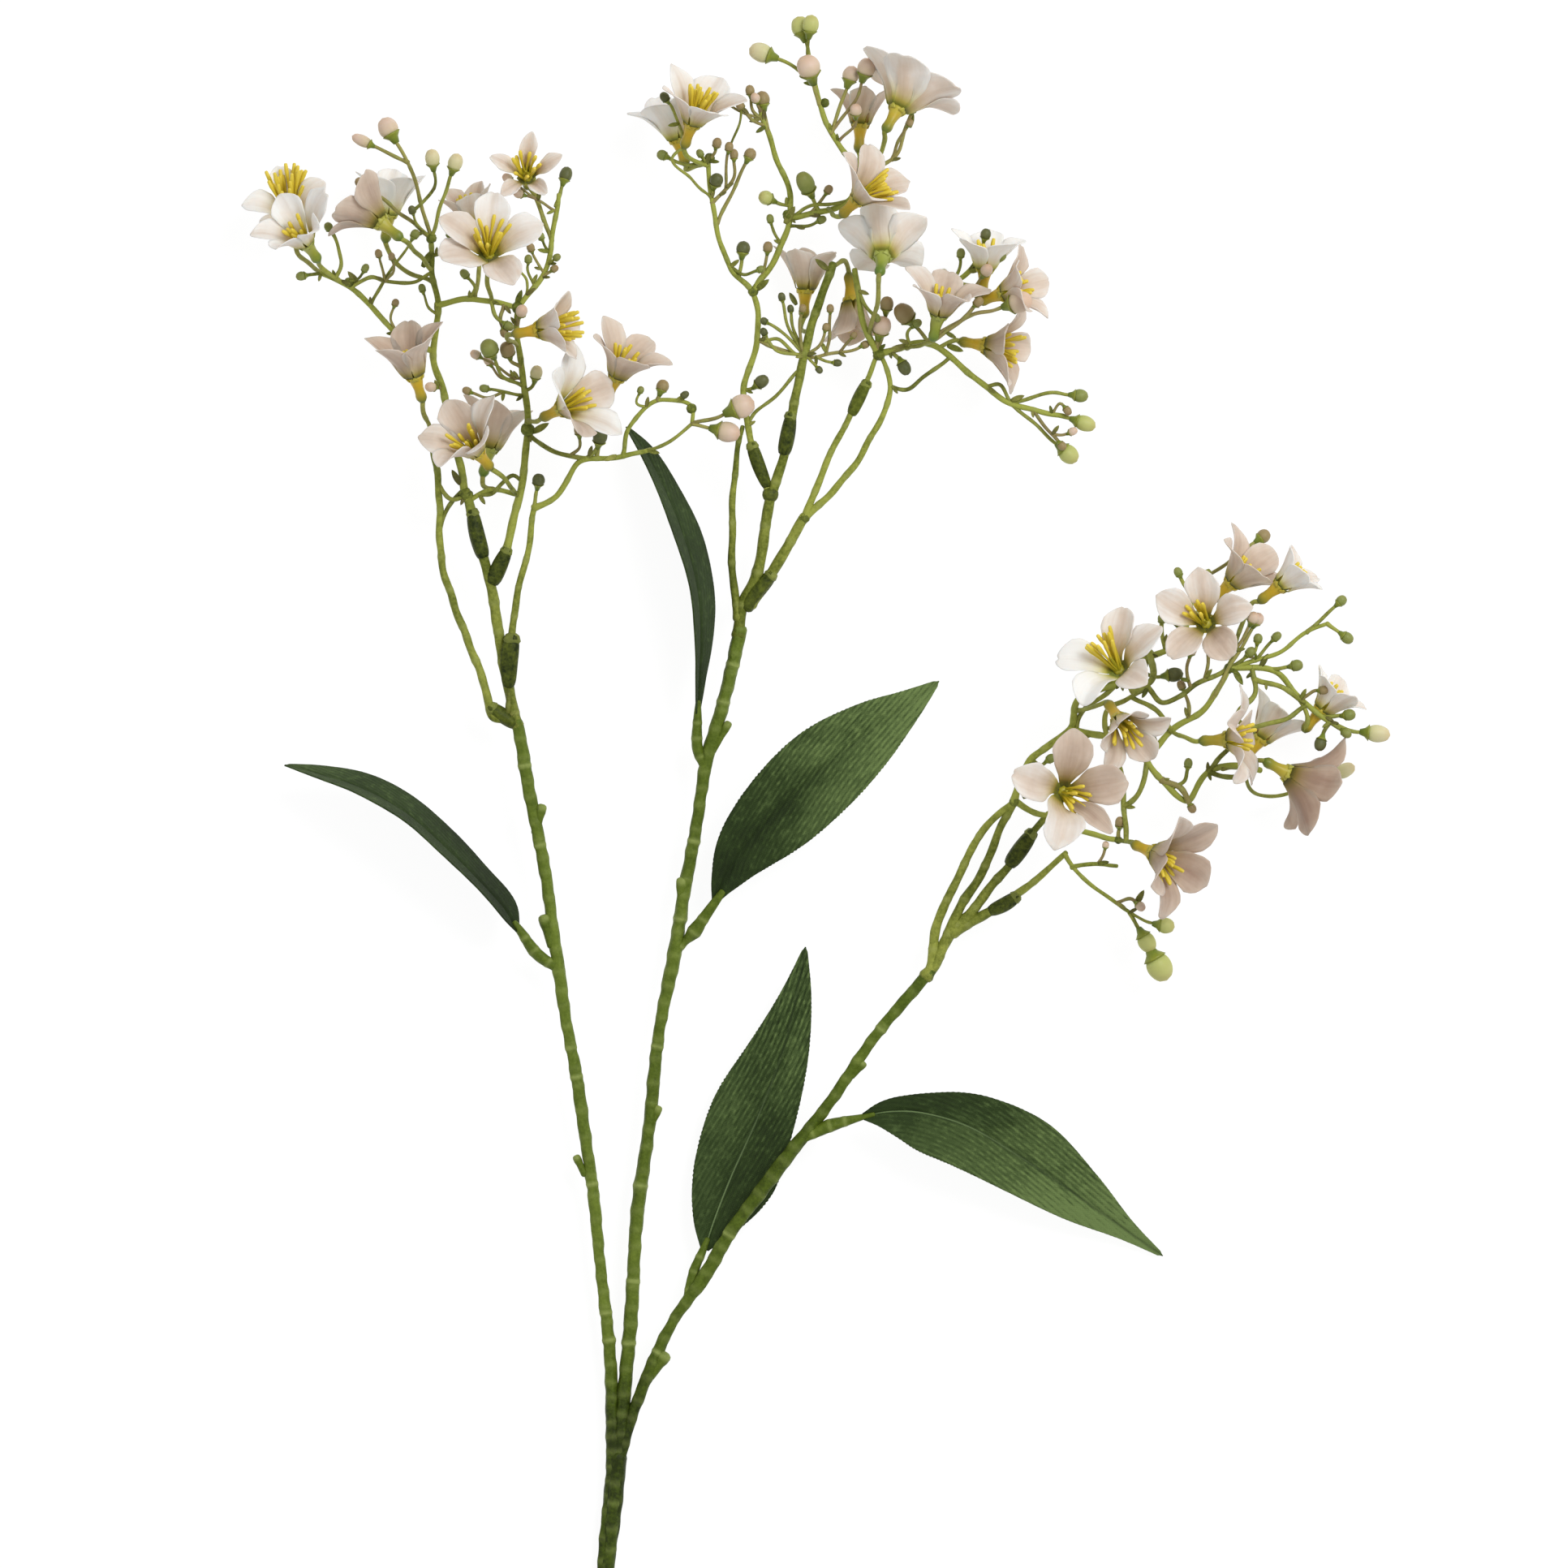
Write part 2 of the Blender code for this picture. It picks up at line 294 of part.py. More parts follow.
RIGHT_BLOOMS = (
    ((103, 74, 50), (-0.35, 0.50, 0.80), (81, 79), 84, 1.04, ((113.4, 78, 26), (108, 66, 40))),
    ((103, 57, 42), (0.40, -0.60, 0.60), (98, 42), 64, 0.86, ((89, 60, 24.6), (97, 62, 36))),
    ((84, 32, 48), (0.20, 0.05, 0.95), (86, 53.5), 84, 1.10, ((72, 42, 23), (81, 34, 34))),
    ((133, 90, 52), (-0.15, 0.20, 0.95), (133, 108), 80, 0.94, ((123, 83.6, 24), (133, 88, 38))),
    ((140, 50, 42), (0.95, 0.05, 0.20), (146, 70), 100, 0.96, ((121, 53, 26), (129, 49.6, 39))),
    ((152, 50, 14), (0.55, 0.75, -0.10), (155, 62), 46, 0.80, ((139, 40, 22), (146, 41, 17))),
    ((161, 38.6, 30), (0.80, -0.42, -0.30), (183, 30), 70, 1.08, ((146, 41, 22), (149.6, 42.4, 27.6))),
    ((173, 60, 22), (0.60, 0.70, 0.10), (187, 69), 50, 0.72, ((165, 65, 25), (168.6, 57, 24))),
    ((115, 11, 38), (0.78, -0.34, 0.52), (134, 21), 72, 1.14, ((103, 15.4, 22), (108, 14.6, 31))),
    ((142, 104, 24), (0.60, 0.55, 0.25), (148, 122), 60, 0.96, ((131, 103, 23), (134, 99, 22))),
    ((158.6, 103, 40), (0.72, 0.55, 0.20), (170, 116), 44, 0.68, ((141, 75, 25), (149, 97, 37))),
)


# Petals that don't stand at even angles: the turn of each of the five blades in degrees.
PETAL_TURNS = {
    "petals_left_6": (-2, -20, -12, 10, 2),
    "petals_middle_3": (0, -14, -26, -28, -4),
    "petals_middle_6": (0, -8, -16, -8, 0),
    "petals_right_1": (0, -8, 0, -6, -22),
    "petals_right_3": (0, 13, 32, 15, -4),
}


def emptied_scene():
    for obj in list(bpy.data.objects):
        bpy.data.objects.remove(obj, do_unlink=True)
    parts = bpy.data.collections.new(COLLECTION_NAME)
    bpy.context.scene.collection.children.link(parts)
    return parts


def plain_material(name, colour, roughness):
    made = bpy.data.materials.new(name)
    made.use_nodes = True
    shader = made.node_tree.nodes["Principled BSDF"]
    shader.inputs["Base Color"].default_value = (*colour, 1.0)
    shader.inputs["Roughness"].default_value = roughness
    shader.inputs["Metallic"].default_value = 0.0
    return made


def tube(name, route, fineness):
    """A curve with filled caps through (x, y, z, radius) points."""
    data = bpy.data.curves.new(name, "CURVE")
    data.dimensions = "3D"
    data.bevel_depth = MM
    data.bevel_resolution = fineness
    data.use_fill_caps = True
    spline = data.splines.new("POLY")
    spline.points.add(len(route) - 1)
    for point, (x, y, z, radius) in zip(spline.points, route):
        point.co = (x * MM, y * MM, z * MM, 1.0)
        point.radius = radius
    return bpy.data.objects.new(name, data)


def tapered(first, last, points):
    """The points with a radius that runs evenly from the first to the last."""
    steps = max(len(points) - 1, 1)
    return [(*point, first + (last - first) * i / steps) for i, point in enumerate(points)]


def solid(name, bm):
    mesh = bpy.data.meshes.new(name)
    bm.to_mesh(mesh)
    bm.free()
    return bpy.data.objects.new(name, mesh)


def knob(name, place, radius):
    bm = bmesh.new()
    bmesh.ops.create_icosphere(bm, subdivisions=1, radius=radius * MM,
                               matrix=Matrix.Translation(Vector(place) * MM))
    return solid(name, bm)


def bud(name, twig, length, width):
    """A twig that ends in a closed bud: the twig's last point is the bud's middle."""
    middle = Vector(twig[-1])
    direction = (middle - Vector(twig[-2])).normalized()
    route = [(*point, TWIG_RADIUS) for point in twig[:-1]]
    for part, share in BIG_PROFILE if length > BIG_BUD else SMALL_PROFILE:
        route.append((*(middle + direction * part * length), share * width))
    return tube(name, route, ROUND)


def bloom_frame(place, axis, tip):
    """The bloom's own frame: +Z along its axis and +X under its first petal."""
    up = Vector(axis).normalized()
    flat = Vector((tip[0] - place[0], tip[1] - place[1], 0.0))
    first = (flat - up * flat.dot(up)).normalized()
    turn = Matrix((first, up.cross(first), up)).transposed().to_4x4()
    return Matrix.Translation(Vector(place) * MM) @ turn


def petal_line(part, opening, length):
    """Radius and height at this part of a petal's length, on an arc that bends outward from the ring."""
    start = math.radians(EARLY_BEND * opening)
    end = math.radians(opening)
    here = start + (end - start) * part
    radius = RING_RADIUS + length * (math.cos(start) - math.cos(here)) / (end - start)
    height = RING_HEIGHT + length * (math.sin(here) - math.sin(start)) / (end - start)
    return radius, height


def ring_points(part, bearing, opening, size):
    """The two points where a petal meets its neighbours, at this part of its length."""
    radius, height = petal_line(part, opening, PETAL_LENGTH * size)
    angles = (bearing - math.pi / PETALS, bearing + math.pi / PETALS)
    return [Vector((radius * math.cos(angle), radius * math.sin(angle), height)) * MM for angle in angles]


def blade_points(part, middle_part, width, bearing, opening, size):
    """The two edge points and the middle point of a petal across its blade."""
    radius, height = petal_line(part, opening, PETAL_LENGTH * size)
    middle_radius, middle_height = petal_line(middle_part, opening, PETAL_LENGTH * size)
    side = width * PETAL_HALF_WIDTH * size
    spots = ((radius, -side, height + PETAL_DISH), (middle_radius, 0.0, middle_height),
             (radius, side, height + PETAL_DISH))
    return [Matrix.Rotation(bearing, 3, "Z") @ Vector(spot) * MM for spot in spots]


def petal_ring(name, bloom, rng, paint):
    """Five petals joined in one ring round the foot of the stamens, as a sheet with a thickness."""
    place, axis, tip, opening, size, _ = bloom
    bm = bmesh.new()
    turns = PETAL_TURNS.get(name, (0,) * PETALS)
    for petal in range(PETALS):
        bearing = 2 * math.pi * petal / PETALS
        turned = bearing + math.radians(turns[petal])
        bend = opening * rng.uniform(*BEND_SPREAD)
        grown = size * rng.uniform(*SIZE_SPREAD)
        points = ring_points(0.0, bearing, opening, size)
        points += ring_points(PETAL_FOOT, bearing, opening, size)
        points += blade_points(PETAL_WIDEST, PETAL_WIDEST, 1.0, turned, bend, grown)
        points += blade_points(PETAL_SHOULDER, 1.0, SHOULDER_WIDTH, turned, bend, grown)
        verts = [bm.verts.new(point) for point in points]
        for corners in PETAL_FACES:
            bm.faces.new([verts[corner] for corner in corners])
    bmesh.ops.remove_doubles(bm, verts=bm.verts, dist=WELD * MM)
    bmesh.ops.recalc_face_normals(bm, faces=bm.faces)
    obj = solid(name, bm)
    obj.matrix_world = bloom_frame(place, axis, tip)
    thicken(obj, PETAL_THICKNESS)
    obj.data.materials.append(paint)
    return obj


def thicken(obj, thickness):
    modifier = obj.modifiers.new("thickness", "SOLIDIFY")
    modifier.thickness = thickness * MM
    modifier.offset = 0.0
    modifier.use_even_offset = False


def stamens(name, bloom):
    """The stamens out of the middle of a calyx, each a slim spike."""
    place, axis, tip, opening, _, _ = bloom
    frame = bloom_frame(place, axis, tip)
    pieces = []
    lean = math.radians(min(STAMEN_LEAN_LIMIT, STAMEN_LEAN_SHARE * opening))
    for i in range(STAMENS):
        bearing = 2 * math.pi * (i + 0.5) / STAMENS
        bm = bmesh.new()
        bmesh.ops.create_cone(bm, cap_ends=True, segments=3, radius1=STAMEN_RADIUS * MM, radius2=0.0,
                              depth=(STAMEN_LENGTH + STAMEN_ROOT) * MM)
        bm.transform(Matrix.Translation((0, 0, (STAMEN_LENGTH - STAMEN_ROOT) / 2 * MM)))
        bm.transform(frame @ Matrix.Rotation(bearing, 4, "Z")
                     @ Matrix.Translation((STAMEN_CIRCLE * MM, 0, 0))
                     @ Matrix.Rotation(lean, 4, "Y"))
        pieces.append(solid(f"{name}_stamen_{i}", bm))
    return pieces


def calyx(name, bloom):
    """A pedicel that flares into the calyx which a bloom sits on."""
    place, axis, _, _, _, pedicel = bloom
    foot = Vector(place) - Vector(axis).normalized() * CALYX_LENGTH
    route = [(*point, PEDICEL_RADIUS) for point in pedicel]
    route += [(*foot, CALYX_FOOT), (*place, CALYX_RIM)]
    return tube(name, route, ROUND)


def as_meshes(curves):
    """Each curve object as a mesh object with its caps welded on."""
    for curve in curves:
        bpy.context.scene.collection.objects.link(curve)
    bpy.context.view_layer.update()
    graph = bpy.context.evaluated_depsgraph_get()
    meshes = []
    for curve in curves:
        mesh = bpy.data.meshes.new_from_object(curve.evaluated_get(graph))
        bm = bmesh.new()
        bm.from_mesh(mesh)
        bmesh.ops.remove_doubles(bm, verts=bm.verts, dist=WELD * MM)
        bmesh.ops.recalc_face_normals(bm, faces=bm.faces)
        bm.to_mesh(mesh)
        bm.free()
        obj = bpy.data.objects.new(curve.name + "_mesh", mesh)
        obj.matrix_world = curve.matrix_world
        meshes.append(obj)
    for curve in curves:
        bpy.data.objects.remove(curve, do_unlink=True)
    return meshes


def fused(name, pieces, paint, parts):
    """One solid from overlapping pieces."""
    first, others = pieces[0], pieces[1:]
    helper = bpy.data.collections.new(name + "_pieces")
    bpy.context.scene.collection.children.link(helper)
    helper.objects.link(first)
    joined = bpy.data.collections.new(name + "_joined")
    bpy.context.scene.collection.children.link(joined)
    for piece in others:
        joined.objects.link(piece)
    modifier = first.modifiers.new("join", "BOOLEAN")
    modifier.operation = "UNION"
    modifier.operand_type = "COLLECTION"
    modifier.collection = joined
    modifier.solver = "MANIFOLD"
    bpy.context.view_layer.update()
    graph = bpy.context.evaluated_depsgraph_get()
    mesh = bpy.data.meshes.new_from_object(first.evaluated_get(graph))
    for piece in pieces:
        bpy.data.objects.remove(piece, do_unlink=True)
    bpy.data.collections.remove(helper)
    bpy.data.collections.remove(joined)
    mesh.materials.clear()
    mesh.materials.append(paint)
    obj = bpy.data.objects.new(name, mesh)
    parts.objects.link(obj)
    return obj


def flattened_under(obj):
    """Cuts the solid level at the surface it lies on, which leaves the flat spot under the stem."""
    bm = bmesh.new()
    bm.from_mesh(obj.data)
    everything = list(bm.verts) + list(bm.edges) + list(bm.faces)
    bmesh.ops.bisect_plane(bm, geom=everything, plane_co=(0, 0, 0), plane_no=(0, 0, -1), clear_outer=True)
    bmesh.ops.holes_fill(bm, edges=bm.edges)
    bmesh.ops.triangulate(bm, faces=bm.faces)
    bm.to_mesh(obj.data)
    bm.free()


def beyond(route, distance):
    """The point this far past the end of a route, in line with its last stretch."""
    end = Vector(route[-1][:3])
    return end + (end - Vector(route[-2][:3])).normalized() * distance


def stem(parts, paint):
    routes = [TRUNK, BRANCH_LEFT, BRANCH_MIDDLE, BRANCH_RIGHT, LEAF_STALK_LEFT, LEAF_STALK_NARROW,
              LEAF_STALK_LARGE, LEAF_STALK_LOWER, LEAF_STALK_RIGHT, *STUBS]
    curves = [tube(f"stem_{i}", route, ROUND) for i, route in enumerate(routes)]
    obj = fused("stem", as_meshes(curves), paint, parts)
    flattened_under(obj)


def spray(name, branch, stalks, thick, knobs, buds, blooms, parts, paint):
    """Stalks, knobs, buds, calyces and stamens on the end of one branch, as one solid."""
    start = [beyond(branch, SEAT_GAP), beyond(branch, SEAT_RUN)]
    radius = branch[-1][3]
    foot = tapered(radius, stalks[0][0], [tuple(point) for point in (*start, Vector(stalks[0][3][0]))])
    curves = [tube(name + "_foot", foot, ROUND)]
    for i, (first, last, fineness, points) in enumerate((*stalks, *thick)):
        curves.append(tube(f"{name}_stalk_{i}", tapered(first, last, points), fineness))
    solids = []
    for i, (x, y, z, size) in enumerate(knobs):
        solids.append(knob(f"{name}_knob_{i}", (x, y, z), size))
    for i, (twig, length, width) in enumerate(buds):
        curves.append(bud(f"{name}_bud_{i}", twig, length, width))
    for i, bloom in enumerate(blooms):
        curves.append(calyx(f"{name}_calyx_{i}", bloom))
        solids.extend(stamens(f"{name}_bloom_{i}", bloom))
    fused(name, as_meshes(curves) + solids, paint, parts)


def leaf(name, stations, parts, paint):
    """A thin blade through its stations, folded a little along its midrib."""
    rows = len(stations)
    bm = bmesh.new()
    bmesh.ops.create_grid(bm, x_segments=LEAF_COLUMNS, y_segments=rows - 1, size=1.0)
    middles = [Vector(station[:3]) for station in stations]
    for vert in bm.verts:
        across = vert.co.x
        row = round((vert.co.y + 1) / 2 * (rows - 1))
        left, right, roll = stations[row][3:]
        ahead = middles[min(row + 1, rows - 1)] - middles[max(row - 1, 0)]
        ahead.normalize()
        side = ahead.cross(Vector((0, 0, 1))).normalized()
        side = Matrix.Rotation(math.radians(roll), 3, ahead) @ side
        face = side.cross(ahead)
        reach = across * (right if across > 0 else left)
        vert.co = (middles[row] + side * reach + face * abs(reach) * LEAF_FOLD) * MM
    bmesh.ops.triangulate(bm, faces=bm.faces)
    bmesh.ops.recalc_face_normals(bm, faces=bm.faces)
    obj = solid(name, bm)
    thicken(obj, LEAF_THICKNESS)
    obj.data.materials.append(paint)
    parts.objects.link(obj)


def main():
    parts = emptied_scene()
    stem(parts, plain_material("stem", STEM_GREEN, 0.45))
    for name, stations in (("leaf_left", LEAF_LEFT), ("leaf_narrow", LEAF_NARROW),
                           ("leaf_large", LEAF_LARGE),
                           ("leaf_lower", LEAF_LOWER), ("leaf_right", LEAF_RIGHT)):
        leaf(name, stations, parts, plain_material(name, LEAF_GREEN, 0.7))
    sprays = (
        ("left", BRANCH_LEFT, LEFT_STALKS, LEFT_THICK, LEFT_KNOBS, LEFT_BUDS, LEFT_BLOOMS),
        ("middle", BRANCH_MIDDLE, MIDDLE_STALKS, MIDDLE_THICK, MIDDLE_KNOBS, MIDDLE_BUDS, MIDDLE_BLOOMS),
        ("right", BRANCH_RIGHT, RIGHT_STALKS, RIGHT_THICK, RIGHT_KNOBS, RIGHT_BUDS, RIGHT_BLOOMS),
    )
    for side, branch, stalks, thick, knobs, buds, blooms in sprays:
        spray(f"spray_{side}", branch, stalks, thick, knobs, buds, blooms, parts,
              plain_material(f"spray_{side}", SPRAY_GREEN, 0.45))
        for i, bloom in enumerate(blooms, 1):
            name = f"petals_{side}_{i}"
            rng = random.Random(name)
            parts.objects.link(petal_ring(name, bloom, rng, plain_material(name, PETAL_WHITE, 0.6)))


main()
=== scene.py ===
"""The looks of a jasmine flower sprig that lies on a white floor, seen from straight above.

Places and lengths are in millimetres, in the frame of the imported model, where nothing else is said.
"""

import math
import random

import bpy
import numpy as np
from mathutils import Matrix, Vector


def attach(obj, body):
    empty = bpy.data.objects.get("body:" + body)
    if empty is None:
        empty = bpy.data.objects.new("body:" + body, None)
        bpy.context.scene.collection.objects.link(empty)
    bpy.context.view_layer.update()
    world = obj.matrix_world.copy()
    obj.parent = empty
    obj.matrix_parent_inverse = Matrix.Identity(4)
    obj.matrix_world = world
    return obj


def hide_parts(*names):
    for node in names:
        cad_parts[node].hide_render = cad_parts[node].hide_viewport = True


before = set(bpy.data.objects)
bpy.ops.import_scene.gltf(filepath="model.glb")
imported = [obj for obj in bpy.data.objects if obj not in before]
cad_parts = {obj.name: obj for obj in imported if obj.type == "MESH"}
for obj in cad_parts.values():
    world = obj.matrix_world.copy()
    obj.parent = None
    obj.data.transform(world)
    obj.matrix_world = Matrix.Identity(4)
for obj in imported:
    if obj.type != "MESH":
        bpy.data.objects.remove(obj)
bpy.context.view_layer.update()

MM = 0.001

# The photograph: how its frame lies over the sprig.
VIEW_CENTRE = (-12.5, 34.7)
VIEW_WIDTH = 540.7
VIEW_LEVEL = 30.0       # height at which the frame has that width
LENS = 800.0
SENSOR = 36.0

# Stem: each route is a list of (x, y, z, radius).
TRUNK = [(-75.5, -300, 2.35, 2.6), (-74.0, -262, 2.35, 2.6), (-73.4, -236, 2.8, 2.8), (-71.3, -215, 3.6, 3.5),
         (-70.0, -198, 4.4, 3.6)]
BRANCH_LEFT = [(-75.2, -238, 3.2, 1.8), (-74.0, -222, 4.2, 2.1), (-72.0, -206, 4.6, 2.4),
               (-71.3, -194, 4.9, 2.5), (-71.8, -176, 5.4, 2.42), (-74.3, -146, 6.8, 2.12),
               (-77.3, -115, 8.2, 2.12), (-80.5, -92, 9.2, 2.22), (-83.8, -67, 10.2, 2.22),
               (-88, -46, 10.9, 2.12), (-90.5, -26, 11.5, 2.32), (-94.1, -1, 12.2, 2.12),
               (-96.8, 13, 12.7, 2.22), (-99.7, 29, 13.2, 2.32), (-103.1, 50, 14, 2.22),
               (-104.6, 56, 14.4, 2.2)]
BRANCH_MIDDLE = [(-70.0, -208, 4.0, 2.4), (-69.2, -194, 4.8, 2.6), (-67.1, -172, 5.8, 2.62),
                 (-64.6, -138, 7.2, 2.42), (-61.8, -104, 8.5, 2.42), (-58.4, -78, 9.4, 2.32),
                 (-54.6, -46, 10.2, 2.22), (-49.6, -21, 11, 2.52), (-46.2, 0, 11.6, 2.32),
                 (-43.2, 18, 12.2, 2.22), (-39, 42, 13, 2.32), (-34.1, 59, 13.5, 2.42),
                 (-29.4, 80, 14.2, 2.42), (-27.6, 88, 14.6, 2.4)]
BRANCH_RIGHT = [(-73.6, -242, 3.4, 1.6), (-72.4, -228, 4.8, 2.2), (-70.9, -212, 5.6, 2.3),
                (-68.9, -198, 5.2, 2.2), (-64.4, -182, 5.8, 2.15), (-57.8, -166, 7.6, 2.25),
                (-50, -150, 9.4, 2.05), (-40.5, -136, 10.8, 2.45), (-31.5, -121, 12.2, 2.35),
                (-20, -106, 13.2, 2.55), (-7.5, -89, 13.8, 2.45), (5, -73, 14, 2.05),
                (21, -50, 14, 2.05), (38.4, -29.6, 14.2, 2.1)]
LEAF_STALK_LEFT = [(-90.4, -29.0, 11.4, 1.6), (-97.8, -23.6, 12.6, 2.1), (-103.2, -16.2, 13.8, 1.5),
                   (-105.4, -13.4, 14.2, 1.2)]
LEAF_STALK_NARROW = [(-39.9, 40.5, 13.0, 1.4), (-42.2, 47.0, 14.0, 1.9), (-42.2, 58.0, 15.0, 1.4),
                     (-42.0, 63.0, 15.6, 0.9)]
LEAF_STALK_LARGE = [(-50.4, -24.0, 11.0, 1.9), (-46.6, -19.8, 12.0, 1.35), (-43.6, -16.4, 12.8, 2.5),
                    (-40.6, -12.2, 13.6, 2.0), (-36.6, -6.6, 14.6, 1.6), (-33.6, -2.6, 15.2, 1.2)]
LEAF_STALK_LOWER = [(-46.0, -144.0, 10.0, 1.5), (-43.4, -133.5, 9.2, 1.7), (-40.6, -127.0, 8.6, 1.4),
                    (-38.8, -122.6, 7.9, 0.9)]
LEAF_STALK_RIGHT = [(-6.0, -88.0, 13.8, 1.5), (2.2, -83.9, 14.0, 2.3), (14.4, -80.4, 14.6, 1.1),
                    (18.6, -79.4, 15.2, 0.8)]
STUBS = (
    [(-81.2, -100, 9.0, 1.4), (-84.0, -94.4, 9.6, 1.2)],
    [(-92.6, -21, 11.8, 1.7), (-95.2, -11.8, 12.6, 1.8)],
    [(-98.2, 18, 12.8, 1.6), (-96.0, 26.6, 13.6, 1.5)],
    [(-58.6, -170, 7.2, 1.6), (-53.6, -163.0, 8.6, 1.9)],
    [(-59.6, -86, 9.2, 1.4), (-55.8, -77.4, 10.0, 1.3)],
    [(-37.4, 46, 13.2, 1.6), (-31.6, 55.4, 14.0, 1.2)],
    [(-47.8, -10, 11.4, 1.7), (-47.7, 1.2, 12.6, 1.6)],
    [(11.0, -66, 14.0, 1.4), (15.0, -62.0, 14.2, 1.2)],
)
# The joint rings, raised and painted pale as a highlight: y on each branch.
RINGS_LEFT = (-157.5, -148, -103.5, -66.5, -56.5, 13.5, 41)
RINGS_MIDDLE = (-158.5, -137, -104, -56, -12, 15, 63, 76)
RINGS_RIGHT = (-161.5, -120.9, -50)
RINGS_TRUNK = (-284, -266, -249)

# Leaves: (x, y, z, half width to the left, half width to the right, roll in degrees) along the midrib.
LEAF_LEFT = (
    (-104.4, -16, 14.1, 1.2, 1.2, 62), (-108.4, -9.1, 15, 8, 8, 66), (-118.4, 2.1, 16.6, 10.5, 10.5, 70),
    (-130.4, 13.9, 18, 12, 12, 70), (-143.4, 25.1, 18.8, 12.4, 12.4, 70), (-158.4, 33.3, 18.6, 11, 11, 70),
    (-172.4, 37.9, 17.4, 6.8, 6.8, 70), (-184.8, 41.3, 15.6, 0.6, 0.6, 70),
)
LEAF_NARROW = (
    (-42.2, 59, 15.2, 1.2, 1.2, 66), (-41.8, 70, 16.6, 4.6, 4.6, 70), (-41.2, 84, 17.4, 8.6, 8.6, 70),
    (-42, 100, 17.4, 11.4, 11.4, 70), (-46, 117, 16.4, 12.2, 12.2, 68), (-52.5, 134, 14.2, 9.2, 9.2, 66),
    (-60, 149, 10.6, 5.2, 5.2, 62), (-66.8, 158.2, 7.6, 0.6, 0.6, 60),
)
LEAF_LARGE = (
    (-36.1, -5.6, 14.8, 1.2, 1.2, 4), (-33.0, 1.2, 16.2, 4.8, 4.8, 6), (-26.0, 12.4, 18.6, 10.2, 10.2, 8),
    (-12.2, 26.9, 21.2, 14.4, 14.4, 8), (2.2, 40.6, 22.0, 14.8, 14.8, 8), (18.2, 53.0, 20.4, 10.9, 10.9, 8),
    (30.4, 61.8, 17.4, 5.6, 5.6, 6), (41.2, 70.2, 13.6, 0.6, 0.6, 4),
)
LEAF_LOWER = (
    (-39.8, -126.2, 8.4, 1.4, 1.4, 0), (-36.8, -117, 7, 7.4, 8.6, 0), (-30.8, -101.5, 5.4, 13.4, 15.2, 0),
    (-21.4, -80.5, 5, 16.4, 13, 0), (-13, -58.5, 7, 12, 9.2, 0), (-8, -38, 10, 5.4, 5.2, 0),
    (-4.9, -21.6, 12.6, 0.6, 0.6, 0),
)
LEAF_RIGHT = (
    (15.0, -80.2, 14.8, 1.1, 1.1, 0), (22.0, -78.6, 15.8, 3.8, 6.2, 0), (34.0, -78.6, 17.0, 6.4, 12.4, 0),
    (51.0, -83.4, 17.0, 11.6, 14.4, 0), (70.0, -94.6, 13.6, 14.8, 12.6, 0), (90.0, -108.2, 8.0, 9.6, 9.0, 0),
    (106.0, -119.6, 3.6, 3.8, 3.6, 0), (118.6, -128.4, 1.2, 0.6, 0.6, 0),
)
LEAF_FOLD = 0.16

# Sprays.
# STALKS and THICK, their swollen lengths: (first radius, last radius, tone, points). Tone 0 is dark, 1 lime.
# KNOBS: (x, y, z, radius).
# BUDS: (points of the twig, bud length, bud width, kind).
# TWIGS: (points in x and y, first radius, last radius, rise, end kind, end size) off the nearest stalk.
# A twig of end size 0 has no bud and ends on another stalk.
# BRACTS: (x, y, z, heading in degrees, length).
# BLOOMS: (middle of the ring of petals, axis, a petal's tip in x and y, opening in degrees, size,
# points of the pedicel).
LEFT_STALKS = (
    (2.1, 1.9, 0.45, ((-104.4, 55, 14.2), (-106.4, 63, 14.8), (-109.8, 80, 16), (-112.3, 96, 17.6),
                      (-114.4, 107, 18.8), (-117.4, 117, 20), (-121.8, 135, 22))),
    (1.6, 1.1, 0.6, ((-121.8, 133, 21.8), (-124.4, 146, 22), (-129.6, 169, 22), (-133.4, 183, 23),
                     (-131.6, 198, 25), (-133.8, 212, 26), (-134, 223, 27))),
    (1.8, 1.3, 0.5, ((-107, 57, 14.8), (-112.8, 58, 15.4), (-115.5, 68.5, 16), (-126.3, 97, 17.5),
                     (-130.6, 112, 18.6), (-131.4, 136, 21), (-134.2, 157, 25))),
    (1.5, 1.2, 0.55, ((-106.4, 82, 18.4), (-104.9, 98, 19), (-101.0, 114, 19.6), (-98.6, 130, 20.4))),
    (1.7, 1.1, 0.7, ((-109.6, 111, 20.2), (-105.2, 127, 21), (-102.6, 140, 21.4), (-100.8, 157, 22.4),
                     (-102.4, 176, 26), (-104.4, 188, 29), (-104.2, 199, 31))),
    (1.1, 1.0, 0.65, ((-133.4, 184, 23), (-146, 190, 24), (-155, 200, 25), (-162, 206, 26), (-172, 211, 27))),
    (1.2, 0.9, 0.6, ((-98.6, 130, 20.4), (-91, 133.6, 21), (-83, 145.6, 22), (-68, 147.6, 22.4),
                     (-58.6, 150, 22.8))),
    (0.9, 0.8, 0.6, ((-68, 147.6, 22.4), (-66, 157, 24), (-56, 167, 26), (-44, 164.8, 28.4), (-44, 159, 29))),
    (1.1, 0.9, 0.7, ((-104.2, 199, 31), (-95, 211, 29), (-91.8, 226, 28), (-90, 238, 28))),
    (1.2, 1.0, 0.7, ((-132, 200, 25), (-120, 202, 27), (-104.2, 199, 31))),
    (1.0, 0.9, 0.5, ((-121, 132.6, 21.6), (-112.6, 136.4, 21.6), (-105, 134.6, 21.4))),
)
